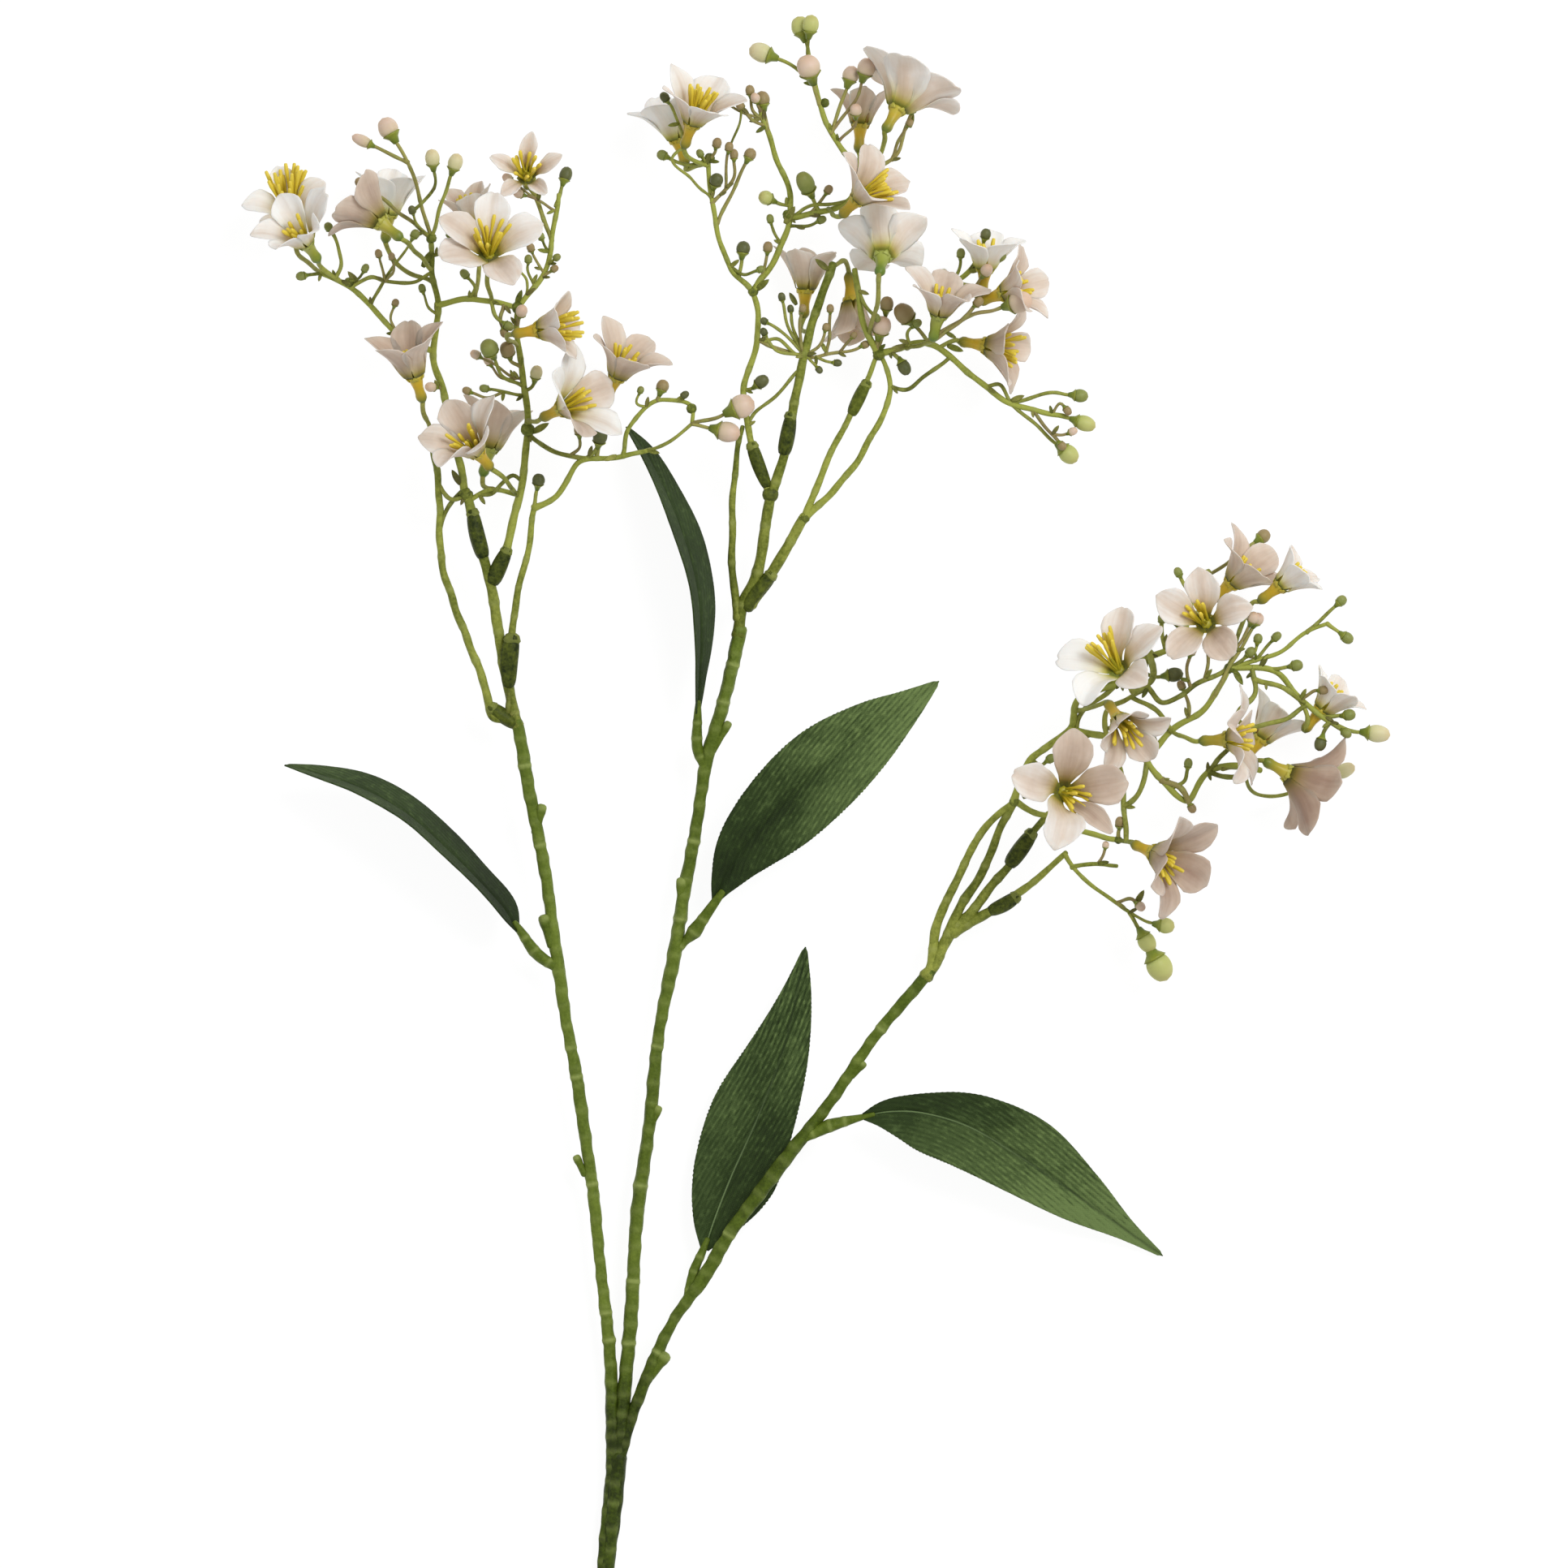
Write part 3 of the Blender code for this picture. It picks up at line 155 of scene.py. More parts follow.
LEFT_THICK = (
    (2.4, 2.6, 0.2, ((-105.4, 55.5, 14.3), (-113.4, 61, 15.6))),
    (2.6, 3.2, 0.1, ((-107.4, 69.5, 16.6), (-107.2, 77, 17.8), (-106.2, 85, 18.7))),
    (2.8, 2.4, 0.1, ((-112.8, 105, 18.8), (-110.6, 110, 19.6), (-108.0, 115.4, 20.4))),
    (2.7, 2.5, 0.05, ((-116.4, 114, 19.7), (-118.4, 121, 20.5), (-119.9, 128.6, 21.3))),
)
LEFT_KNOBS = ((-100.8, 157, 22.4, 2.6), (-122, 134.6, 22, 2.5), (-134, 223, 27, 2.0), (-104.2, 199, 31, 2.2),
              (-44.2, 164.2, 28.4, 1.9), (-162.4, 207.6, 26.2, 1.9))
LEFT_BUDS = (
    (((-134, 223, 27), (-142, 249, 31), (-149, 261, 30)), 7.6, 6.8, "pink"),
    (((-142, 249, 31), (-158, 256.6, 29)), 7.5, 4.0, "pink"),
    (((-134, 223, 27), (-149, 235, 31), (-158.4, 242, 33)), 4.2, 3.6, "brown"),
    (((-134, 223, 27), (-130, 236, 33), (-125.6, 249, 36)), 6.4, 5.0, "cream"),
    (((-91, 234, 28), (-87.6, 245, 26)), 5.6, 4.4, "dark"),
    (((-102.2, 172, 25), (-109, 175, 31), (-114, 185, 40)), 6.4, 6.2, "green"),
    (((-98.6, 130, 20.4), (-97, 139.6, 24)), 4.6, 4.4, "dark"),
    (((-56, 167, 26), (-54.2, 172, 26)), 4.6, 4.4, "brown"),
    (((-44, 159, 29), (-31.6, 156, 31)), 8.6, 7.0, "pink"),
    (((-44, 159, 29), (-35, 161.4, 31), (-26.6, 165, 32)), 8.6, 8.2, "pink"),
    (((-133.4, 184, 23), (-139.6, 185.6, 12), (-141.4, 186, 3.36)), 6.4, 6.2, "green"),
)
LEFT_TWIGS = (
    (((-155, 200), (-150, 209), (-147, 213), (-144, 217), (-140, 223.5)), 0.8, 0.6, 6, "green", 3.2),
    (((-162, 206), (-155, 209.5), (-150, 208), (-140, 208), (-134.4, 210)), 0.9, 0.8, 2, "", 0),
    (((-150, 208), (-151, 213), (-152, 217)), 0.7, 0.6, 6, "brown", 2.6),
    (((-150, 208), (-147, 211), (-147.5, 216)), 0.7, 0.6, 8, "brown", 2.4),
    (((-167, 209), (-165, 214), (-166, 220), (-169, 226)), 0.9, 0.8, 8, "green", 3.0),
    (((-165, 208), (-159, 209), (-157, 212)), 0.7, 0.6, 4, "green", 2.6),
    (((-172, 211), (-178, 210)), 0.8, 0.8, 1, "green", 3.2),
    (((-135, 225), (-139, 228), (-140.4, 232)), 0.7, 0.6, 6, "dark", 2.8),
    (((-131, 233), (-133, 240), (-133.4, 249)), 0.8, 0.7, 6, "cream", 5.0),
    (((-100.8, 203), (-101, 209), (-104, 212)), 0.7, 0.6, 3, "green", 2.6),
    (((-98, 207), (-100.5, 211), (-100.5, 215)), 0.7, 0.6, 5, "green", 2.8),
    (((-95, 212), (-98, 215), (-99.5, 219)), 0.7, 0.6, 5, "brown", 2.8),
    (((-93, 218), (-94.6, 220), (-96, 223)), 0.7, 0.6, 3, "green", 2.6),
    (((-96, 210), (-92, 212)), 0.7, 0.7, 2, "brown", 2.6),
    (((-94, 214), (-91, 216)), 0.7, 0.7, 4, "green", 2.6),
    (((-91, 232), (-97, 236), (-103, 238)), 0.7, 0.6, 5, "pink", 3.2),
    (((-97, 236), (-103, 240), (-107, 243)), 0.6, 0.6, 4, "pink", 3.2),
    (((-109, 200.6), (-110, 195), (-109, 191)), 0.9, 0.8, 2, "brown", 3.0),
    (((-121, 202), (-119, 206), (-122, 210)), 0.8, 0.7, 5, "green", 3.0),
    (((-114, 201), (-112, 196), (-108, 193)), 0.9, 0.8, 3, "green", 3.2),
    (((-104, 192), (-103, 197)), 0.9, 0.9, 5, "pink", 4.0),
    (((-103, 178), (-106, 180), (-107.4, 183.4)), 0.9, 0.8, 7, "brown", 5.2),
    (((-103, 174), (-110, 175), (-114, 180)), 0.7, 0.6, 3, "pink", 3.0),
    (((-104, 176), (-112, 179), (-118, 182.4)), 0.7, 0.6, 6, "pink", 3.2),
    (((-102, 168), (-109, 170), (-115, 171)), 0.8, 0.7, 5, "green", 2.8),
    (((-109, 170), (-115, 168), (-121, 170)), 0.7, 0.7, 2, "brown", 2.8),
    (((-102, 170), (-99, 172), (-98, 175.4)), 0.8, 0.8, 2, "cream", 4.2),
    (((-131, 170), (-133.4, 171.6)), 0.8, 0.8, 2, "pink", 3.4),
    (((-100.4, 155), (-92, 149.4), (-86, 148), (-79, 147)), 1.0, 1.0, 0, "", 0),
    (((-86, 148), (-83, 151), (-83, 156)), 0.8, 0.7, 3, "brown", 3.6),
    (((-80, 147), (-77, 150), (-76, 153.4)), 0.9, 0.8, 3, "dark", 5.0),
    (((-60, 150), (-52, 152.6), (-44.6, 157.6)), 0.8, 0.8, 2, "", 0),
    (((-60, 163), (-63, 166), (-62, 170)), 0.7, 0.6, 3, "green", 2.4),
    (((-50, 166.4), (-47, 168.6)), 0.7, 0.7, 2, "dark", 2.6),
    (((-118, 134), (-113, 135), (-110, 138), (-106, 141), (-102.6, 139)), 0.9, 0.9, 1, "", 0),
    (((-123, 136), (-128, 131), (-130.6, 122)), 0.9, 1.0, 0, "", 0),
    (((-122, 134), (-127, 133), (-130.6, 138)), 1.0, 0.9, 1, "", 0),
    (((-107.6, 57.4), (-107.4, 63), (-110.4, 69.6)), 1.1, 1.0, 1.6, "", 0),
    (((-131, 196), (-135, 199), (-137, 205)), 0.7, 0.6, 3, "green", 2.6),
    (((-133, 216), (-129, 219), (-127.6, 224)), 0.8, 0.7, 4, "green", 3.0),
    (((-146, 190), (-148, 195), (-146.6, 200)), 0.7, 0.6, 3, "brown", 2.6),
)
LEFT_BRACTS = ((-137, 213, 26, 60, 7.0), (-159, 207, 25.6, 130, 6.0), (-124, 138, 22.4, 120, 6.0),
               (-99, 156, 23, 30, 6.5), (-104.6, 200, 31.4, 70, 5.5), (-70, 148, 22.8, 200, 5.0))
LEFT_BLOOMS = (
    ((-183, 231, 18), (-0.15, 0.55, 0.85), (-199, 235), 84, 0.76, ((-172, 211, 27), (-180, 218, 15))),
    ((-177, 221, 43), (-0.45, 0.65, 0.60), (-195, 223), 62, 0.92, ((-166, 208.5, 27), (-172, 213, 32))),
    ((-151, 228, 48), (-0.75, 0.60, -0.25), (-162, 242), 56, 0.86, ((-134, 212, 26), (-140, 219, 42))),
    ((-149, 231, 15), (0.10, 0.95, 0.12), (-154, 248), 46, 0.90, ((-133.6, 208, 25.8), (-146, 214, 16.5))),
    ((-101, 244, 38), (-0.05, 0.35, 0.90), (-100.5, 259.5), 74, 0.68, ((-92.4, 222, 28), (-98, 237, 27))),
    ((-114, 217, 52), (0.05, 0.50, 0.85), (-133, 226), 82, 1.04, ((-113, 200.4, 28.6), (-114.6, 209, 40))),
    ((-120, 229, 15), (-0.20, 0.85, 0.20), (-121, 240), 46, 0.66, ((-119, 202, 27.2), (-117, 219, 15))),
    ((-97, 191, 53), (0.90, 0.15, 0.30), (-91, 200), 54, 0.76, ((-104.4, 186, 28.6), (-108, 189, 46))),
    ((-139.5, 175, 36), (-0.28, 0.90, 0.30), (-154, 187), 48, 0.98, ((-134.2, 157, 25), (-136.4, 162, 30))),
    ((-118, 149, 42), (-0.50, 0.60, 0.60), (-130, 171), 60, 0.98, ((-104, 134, 21.4), (-109, 140, 34))),
    ((-114.2, 150, 14.2), (0.22, 0.92, -0.08), (-119, 173), 42, 0.98,
     ((-112.6, 136.4, 21.6), (-116.4, 138, 17))),
    ((-89, 164, 44), (0.75, 0.35, 0.55), (-90, 187), 74, 1.08, ((-101, 160, 23), (-97, 160, 37))),
    ((-70, 175, 26), (0.35, 0.75, 0.35), (-72, 196), 58, 0.96, ((-77, 146.8, 22.2), (-74, 164, 22))),
)

MIDDLE_STALKS = (
    (2.2, 2.0, 0.35, ((-28, 86, 14.5), (-26.4, 97, 15.2), (-21.6, 107, 16.2), (-19.0, 122, 17.4),
                      (-17, 134.5, 18.5))),
    (1.7, 1.0, 0.4, ((-28.2, 92, 15), (-30, 106, 16), (-30, 132, 17.6), (-28.6, 148, 18.6),
                     (-26.6, 158, 19.4))),
    (1.3, 0.9, 0.6, ((-17.4, 134.5, 18.5), (-24.4, 156, 20), (-26, 172, 21), (-21.4, 188, 22), (-23, 204, 23),
                     (-31, 213, 24), (-36.6, 232, 25), (-38.6, 250, 26))),
    (1.9, 1.6, 0.42, ((-16.6, 134.5, 18.5), (-12.4, 148, 20), (-8, 170, 22), (-2.8, 193, 25),
                     (4.5, 214, 24))),
    (2.4, 1.9, 0.5, ((-24, 97, 15.2), (-21, 101, 15.8), (-14.5, 111, 17), (-5.4, 127, 18.8))),
    (1.5, 1.0, 0.7, ((-5.4, 126, 18.8), (3.5, 148, 20.4), (13, 167, 22), (20, 183, 23.4))),
    (1.5, 1.0, 0.7, ((-5.4, 126, 18.8), (9.6, 141.6, 20), (20.6, 160, 21.6), (24.5, 171, 22.4),
                      (21, 183, 23.4))),
    (1.2, 1.0, 0.6, ((-22.6, 205, 23), (-13, 221, 24), (-10, 237, 25), (-14.4, 249, 26), (-20.4, 267, 27))),
    (1.2, 1.0, 0.7, ((-11, 230, 24.6), (0, 232, 26), (11, 236.6, 27), (12, 246, 27), (2, 263, 28),
                     (-1.6, 276, 29))),
    (1.3, 1.1, 0.65, ((20, 183, 23.4), (15, 194, 28), (12, 212, 29))),
    (1.3, 1.0, 0.7, ((20, 183, 23.4), (38, 186.6, 24), (52, 176, 24), (66, 166, 24), (84, 161.6, 24))),
    (1.2, 1.0, 0.7, ((38, 186.6, 24), (42, 203, 22), (52, 212, 22))),
)
MIDDLE_THICK = (
    (3.0, 2.6, 0.15, ((-25, 96, 15.2), (-23.4, 99, 15.4), (-16.6, 107, 16.8))),
    (2.0, 2.4, 0.1, ((-18.4, 138, 18.8), (-20.8, 144, 19.3), (-23.4, 151.6, 19.8))),
    (2.6, 2.3, 0.1, ((-12.2, 149.6, 20.2), (-11, 156, 20.8), (-10.0, 162, 21.4))),
    (2.1, 2.1, 0.3, ((11.4, 163, 21.6), (13.8, 168, 22.1), (16.2, 173, 22.6))),
)
MIDDLE_KNOBS = ((-17, 134.6, 18.5, 2.9), (-5.4, 126.4, 18.8, 2.1), (20.4, 183, 23.4, 2.4),
                (-11, 231, 24.6, 2.0), (-38, 250.6, 26, 1.9), (-23, 204.6, 23, 1.9), (1.8, 269.6, 28.6, 1.7))
MIDDLE_BUDS = (
    (((-35.4, 228, 24.8), (-24, 252, 24)), 4.4, 4.2, "brown"),
    (((-38.6, 250, 26), (-46, 248, 30), (-54.4, 251.6, 30)), 3.8, 3.6, "green"),
    (((-37.4, 238, 25.4), (-35.6, 243, 28)), 5.0, 4.6, "dark"),
    (((-18, 260, 26.8), (-19.8, 271, 27)), 5.6, 5.0, "brown"),
    (((-1.6, 276, 29), (-12, 284, 28), (-20.4, 287, 27)), 8.4, 6.6, "cream"),
    (((-1.6, 276, 29), (-4, 288, 29), (-6.6, 296, 28)), 7.2, 6.6, "lime"),
    (((0, 269, 28.6), (-4, 282, 34)), 8.4, 8.0, "pink"),
    (((0, 232, 26), (-5, 242, 32)), 8.8, 6.0, "green"),
    (((-28, 209, 23.6), (-26.4, 219.6, 24)), 5.0, 4.8, "dark"),
    (((4, 259, 28), (10.8, 279.4, 28)), 6.2, 5.8, "pink"),
    (((38, 186.6, 24), (29, 197, 30)), 7.8, 6.6, "brown"),
    (((52, 212, 22), (60, 218, 14), (66, 221, 10)), 4.2, 3.6, "green"),
    (((66, 166, 24), (86, 148.4, 22)), 7.4, 6.2, "lime"),
    (((66, 166, 24), (80, 169.6, 24), (90, 168.6, 24)), 5.4, 4.6, "green"),
    (((84, 161.6, 24), (91.6, 159, 24)), 7.6, 5.4, "lime"),
)
MIDDLE_TWIGS = (
    (((-37.4, 236), (-44, 243), (-51, 250), (-53.6, 251)), 0.7, 0.7, 5, "", 0),
    (((-47, 262), (-50, 266), (-53, 270.6)), 0.7, 0.7, 4, "dark", 3.2),
    (((-33, 233.6), (-30, 243), (-29.6, 251)), 0.9, 0.7, 2, "brown", 3.0),
    (((-38, 249), (-36.5, 252), (-35.6, 255)), 0.8, 0.7, 4, "brown", 3.2),
    (((-34, 240), (-32.4, 247), (-31.4, 253.6)), 0.7, 0.7, 5, "brown", 3.0),
    (((-38.4, 248), (-41, 251.6)), 0.8, 0.8, 2, "green", 2.6),
    (((-31, 213), (-26, 210.6), (-21, 212)), 0.8, 0.7, 2, "green", 2.6),
    (((-20, 209), (-18.6, 214), (-18, 219)), 0.8, 0.7, 3, "brown", 3.4),
    (((-19, 263), (-23, 267), (-24, 273)), 0.8, 0.7, 3, "brown", 3.2),
    (((-18.4, 261), (-23.6, 264), (-27, 268)), 0.8, 0.7, 5, "brown", 3.0),
    (((-19.6, 264), (-28, 267), (-33, 270)), 0.7, 0.6, 3, "brown", 2.8),
    (((-27, 268), (-27.6, 262), (-27.4, 258)), 0.6, 0.6, 1, "", 0),
    (((-20, 266), (-22, 270.6)), 0.7, 0.7, 4, "pink", 3.2),
    (((6, 256), (12, 262), (12.4, 266)), 0.7, 0.7, 3, "pink", 4.0),
    (((4, 259), (12, 270), (15.6, 280)), 0.8, 0.7, 4, "pink", 6.2),
    (((-1.6, 276), (-4.4, 287), (-3.4, 295)), 0.8, 0.7, 3, "lime", 5.6),
    (((-11, 233), (-14, 235), (-17.4, 236.4)), 0.8, 0.8, 3, "lime", 4.8),
    (((-4, 231), (0, 235), (2.6, 239)), 0.8, 0.7, 3, "brown", 3.0),
    (((-9.6, 226), (-4, 227.4), (0, 229)), 0.8, 0.7, 2, "green", 2.8),
    (((-13, 221), (-16, 225), (-17, 229)), 0.7, 0.7, 3, "green", 2.6),
    (((-11, 231), (-3, 234), (3, 234.6), (9, 236.4)), 0.8, 0.8, 2, "", 0),
    (((12, 243), (20, 247), (26, 251), (29, 259), (32, 267)), 0.9, 0.8, 5, "brown", 3.2),
    (((23.6, 250), (27, 256), (30.6, 262)), 0.8, 0.7, 6, "brown", 2.6),
    (((-21.4, 188), (-12, 184), (-4, 182), (3, 183), (10, 184), (15, 186)), 0.9, 0.7, 2, "brown", 2.8),
    (((-20.6, 187), (-14, 188), (-8, 183), (-4, 182)), 0.8, 0.8, 1, "", 0),
    (((-5, 182), (-12, 190), (-18.6, 194)), 0.8, 0.7, 4, "dark", 2.6),
    (((-5, 182), (-11, 193), (-13, 202)), 0.8, 0.7, 6, "dark", 2.6),
    (((-5, 182), (-9, 192), (-10, 198)), 0.8, 0.7, 3, "dark", 2.4),
    (((-5, 182), (-7, 191), (-6, 198)), 0.8, 0.7, 7, "brown", 2.6),
    (((-5, 182), (0, 186), (2, 191.6)), 0.8, 0.7, 4, "brown", 2.6),
    (((-5, 182), (-15, 184), (-19, 190)), 0.8, 0.7, 6, "dark", 2.6),
    (((2, 183), (3.4, 190), (3.6, 198)), 0.8, 0.7, 6, "brown", 2.6),
    (((6, 183.4), (9, 186), (11.4, 189)), 0.7, 0.7, 2, "brown", 2.4),
    (((-2, 182), (2, 180.4), (5.4, 180)), 0.7, 0.7, 1, "dark", 2.6),
    (((-5, 182), (-2, 179.6), (-0.6, 178)), 0.7, 0.7, 1, "dark", 2.4),
    (((-26, 170), (-23.6, 171), (-21, 172.8)), 0.8, 0.8, 2, "dark", 4.4),
    (((-25, 158), (-22, 163), (-15, 169), (-8.4, 177.6)), 0.8, 0.8, 0.5, "", 0),
    (((20.4, 183), (20, 187), (21, 191)), 1.0, 1.0, 4, "pink", 6.4),
    (((20.4, 183), (22, 191), (23, 199)), 0.9, 0.8, 5, "brown", 4.6),
    (((24, 184), (27, 182), (28.6, 179.4)), 0.9, 0.9, 1, "dark", 4.4),
    (((42, 203), (43.4, 207), (43, 210)), 0.8, 0.7, 4, "green", 3.0),
    (((45, 207), (48, 212), (48.6, 217)), 0.8, 0.7, 4, "green", 3.0),
    (((51, 211), (55, 217), (57, 223.4)), 0.8, 0.7, 5, "dark", 3.6),
    (((52, 212), (57, 213), (62, 216)), 0.8, 0.7, 6, "green", 3.0),
    (((46, 207), (53, 206), (57, 211)), 0.8, 0.7, 8, "pink", 4.0),
    (((43, 190), (52, 196), (60, 198), (67, 200)), 0.9, 0.8, 9, "pink", 7.4),
    (((38, 187), (46, 192), (54, 200)), 0.9, 0.9, 9, "brown", 3.2),
    (((25, 171), (30, 171), (36, 175), (45, 180.6)), 0.9, 0.9, 0.5, "", 0),
    (((57, 172), (62, 172.6), (66, 166)), 0.9, 0.8, 1, "", 0),
    (((31, 186), (30, 190), (33, 193)), 0.8, 0.7, 5, "green", 3.0),
    (((12, 205), (15, 201), (19, 196)), 0.8, 0.8, 3, "green", 2.8),
    (((73, 163.6), (78, 158), (83, 152)), 0.8, 0.8, 2, "brown", 3.0),
    (((80, 162.4), (83, 166), (85, 164)), 0.7, 0.7, 2, "brown", 2.8),
    (((80, 156), (84, 155), (86.6, 156)), 0.7, 0.7, 2, "pink", 2.8),
)
MIDDLE_BRACTS = ((31, 261, 30, 80, 6.0), (-12, 228, 25, 60, 7.0), (-22, 205, 23.6, 40, 6.0),
                 (24, 184, 24, 20, 6.5), (44, 186, 24.6, 340, 6.0), (66, 167, 24.4, 20, 5.0),
                 (-8, 200, 23.8, 120, 5.0), (3, 212, 25.6, 140, 6.0))
MIDDLE_BLOOMS = (
    ((-49, 257, 20), (-0.30, 0.90, 0.10), (-68, 268.5), 50, 0.94, ((-38.6, 249, 26), (-46, 247, 17))),
    ((-44, 262, 42), (0.30, 0.85, 0.40), (-49, 284), 58, 0.98, ((-38.6, 248, 26), (-46, 251, 35))),
    ((26.6, 267, 42), (0.45, 0.80, -0.35), (17, 288), 78, 1.14, ((12, 243, 27), (21.5, 253, 36))),
    ((14, 262, 16), (0.05, 0.90, -0.10), (10, 275), 44, 0.74, ((12, 240, 27), (14, 251, 18))),
    ((13, 236, 49), (0.60, 0.60, 0.50), (18, 250), 62, 0.90, ((3, 233, 26.2), (6, 230, 41))),
    ((21.5, 216, 42), (0.10, 0.60, -0.75), (6, 220), 70, 0.96, ((17, 190, 26.6), (20, 202, 44))),
    ((-5, 205, 12.2), (0.05, 0.95, 0.02), (-13, 218), 44, 0.86, ((-3.6, 190, 24.6), (-6.4, 192.4, 15))),
    ((11, 202, 14), (0.10, -0.95, 0.10), (5, 188), 43, 0.82, ((4.2, 213, 24), (8.6, 215.4, 19))),
    ((41, 196, 46), (0.22, 0.90, 0.35), (33, 209), 64, 0.90, ((30, 185, 23.8), (38, 187, 41))),
    ((57, 212, 26), (0.10, 0.90, 0.20), (48, 225), 56, 0.82, ((47, 208, 22), (56, 205, 24))),
    ((63, 203.6, 46), (0.85, 0.30, 0.35), (79, 209), 60, 0.82, ((42, 203, 22), (54, 203, 42))),
    ((57, 186, 24), (0.85, -0.14, 0.20), (62, 199), 66, 0.88, ((41, 185, 24), (47, 188, 23))),
)

RIGHT_STALKS = (
    (2.4, 2.0, 0.4, ((36.8, -31.6, 14.1), (39.2, -28.2, 14.2), (45, -17, 15), (52, -10, 15.8))),
    (2.0, 1.3, 0.6, ((38.6, -29, 14.2), (40.4, -14, 16), (46.6, 0, 18), (56.6, 19, 20.4), (67, 28.6, 22))),
    (2.0, 1.4, 0.45, ((41, -25, 14.6), (49, -7, 16.4), (56, 4, 18), (63, 21, 20.2), (67.6, 29, 22))),
    (2.0, 1.3, 0.4, ((50, -13, 15.6), (58, -2, 16.8), (65, 6, 17.8), (72.4, 16.6, 19), (79, 24.4, 20))),
    (2.2, 1.1, 0.55, ((46, -16.5, 15.2), (60, -8.4, 16.4), (72.6, 0, 17.6), (85, 11, 19))),
    (1.2, 1.1, 0.7, ((67.4, 28.8, 22), (75, 24.6, 21), (79, 23.6, 20))),
    (1.4, 1.1, 0.65, ((67, 28.6, 22), (72, 42, 23), (86.4, 54, 24), (89.6, 64, 25), (104, 70, 26),
                      (113.6, 80, 26))),
    (1.3, 1.1, 0.8, ((86.4, 53.4, 24), (101, 50.4, 25), (112, 44, 26), (120, 52, 26), (134, 62, 26),
                     (141, 74.5, 25))),
    (1.2, 1.1, 0.8, ((112, 44, 26), (118, 36, 26), (127, 29, 25), (134, 39, 22), (146, 41, 22),
                     (152, 39.4, 24))),
    (1.2, 1.0, 0.75, ((141, 74.5, 25), (156, 74.2, 25), (166, 64, 25), (176, 56, 25))),
    (0.9, 0.75, 0.7, ((141, 74.5, 25), (158, 80, 26), (168, 87, 26), (175, 90, 26))),
    (1.2, 1.0, 0.7, ((79, 24.4, 20), (92, 18, 20), (103, 15.4, 22))),
    (0.9, 0.75, 0.6, ((84.6, 10.6, 19), (88, 5, 18.6), (95, -1, 18), (107, -9.6, 18))),
    (0.9, 0.75, 0.5, ((87, 6, 18.6), (96, 7.2, 19), (102.6, 6.4, 20))),
    (1.2, 1.0, 0.6, ((113, 78, 26), (124, 84, 24), (131, 104, 23), (135.6, 100, 24))),
)
RIGHT_THICK = (
    (2.8, 2.6, 0.1, ((66.0, 7.6, 17.9), (69.6, 12.6, 18.6), (73.2, 17.6, 19.2))),
    (2.3, 2.5, 0.1, ((59.4, -9, 16.3), (63.8, -6.8, 16.7), (67.8, -4.2, 17))),
)
RIGHT_KNOBS = ((67.2, 28.6, 22, 1.9), (103.4, 20.4, 22, 1.6), (141, 74.5, 25, 1.9), (103, 15.4, 22, 1.5))
RIGHT_BUDS = (
    (((108.5, 74.8, 26), (116, 71.6, 27), (122.4, 72.4, 27)), 6.2, 5.0, "dark"),
    (((134, 62, 26), (151, 91.6, 30)), 4.6, 4.2, "pink"),
    (((168, 87, 26), (180, 98, 26)), 4.0, 3.6, "green"),
    (((175, 90, 26), (182, 85, 26)), 4.6, 4.0, "green"),
    (((156, 74.2, 25), (164.6, 75.6, 28)), 4.4, 4.0, "green"),
    (((176, 56, 25), (184, 53, 25), (192.6, 52, 25)), 8.6, 6.0, "cream"),
    (((146, 41, 22), (151, 31, 10), (168, 33, 3.6), (181.6, 39.4, 5.6)), 7.4, 5.0, "cream"),
    (((107, -9.6, 18), (113, -20, 17)), 7.6, 6.0, "lime"),
    (((107, -9.6, 18), (117.4, -28.6, 16)), 10.4, 8.6, "lime"),
    (((103, 15.4, 22), (103.6, 21.6, 24)), 4.0, 3.4, "brown"),
    (((131, 104, 23), (135, 107, 12), (153.4, 120.4, 6)), 5.0, 4.6, "brown"),
    (((128, 95, 23.6), (131, 93, 12), (132, 92, 3.12)), 6.0, 6.0, "green"),
)
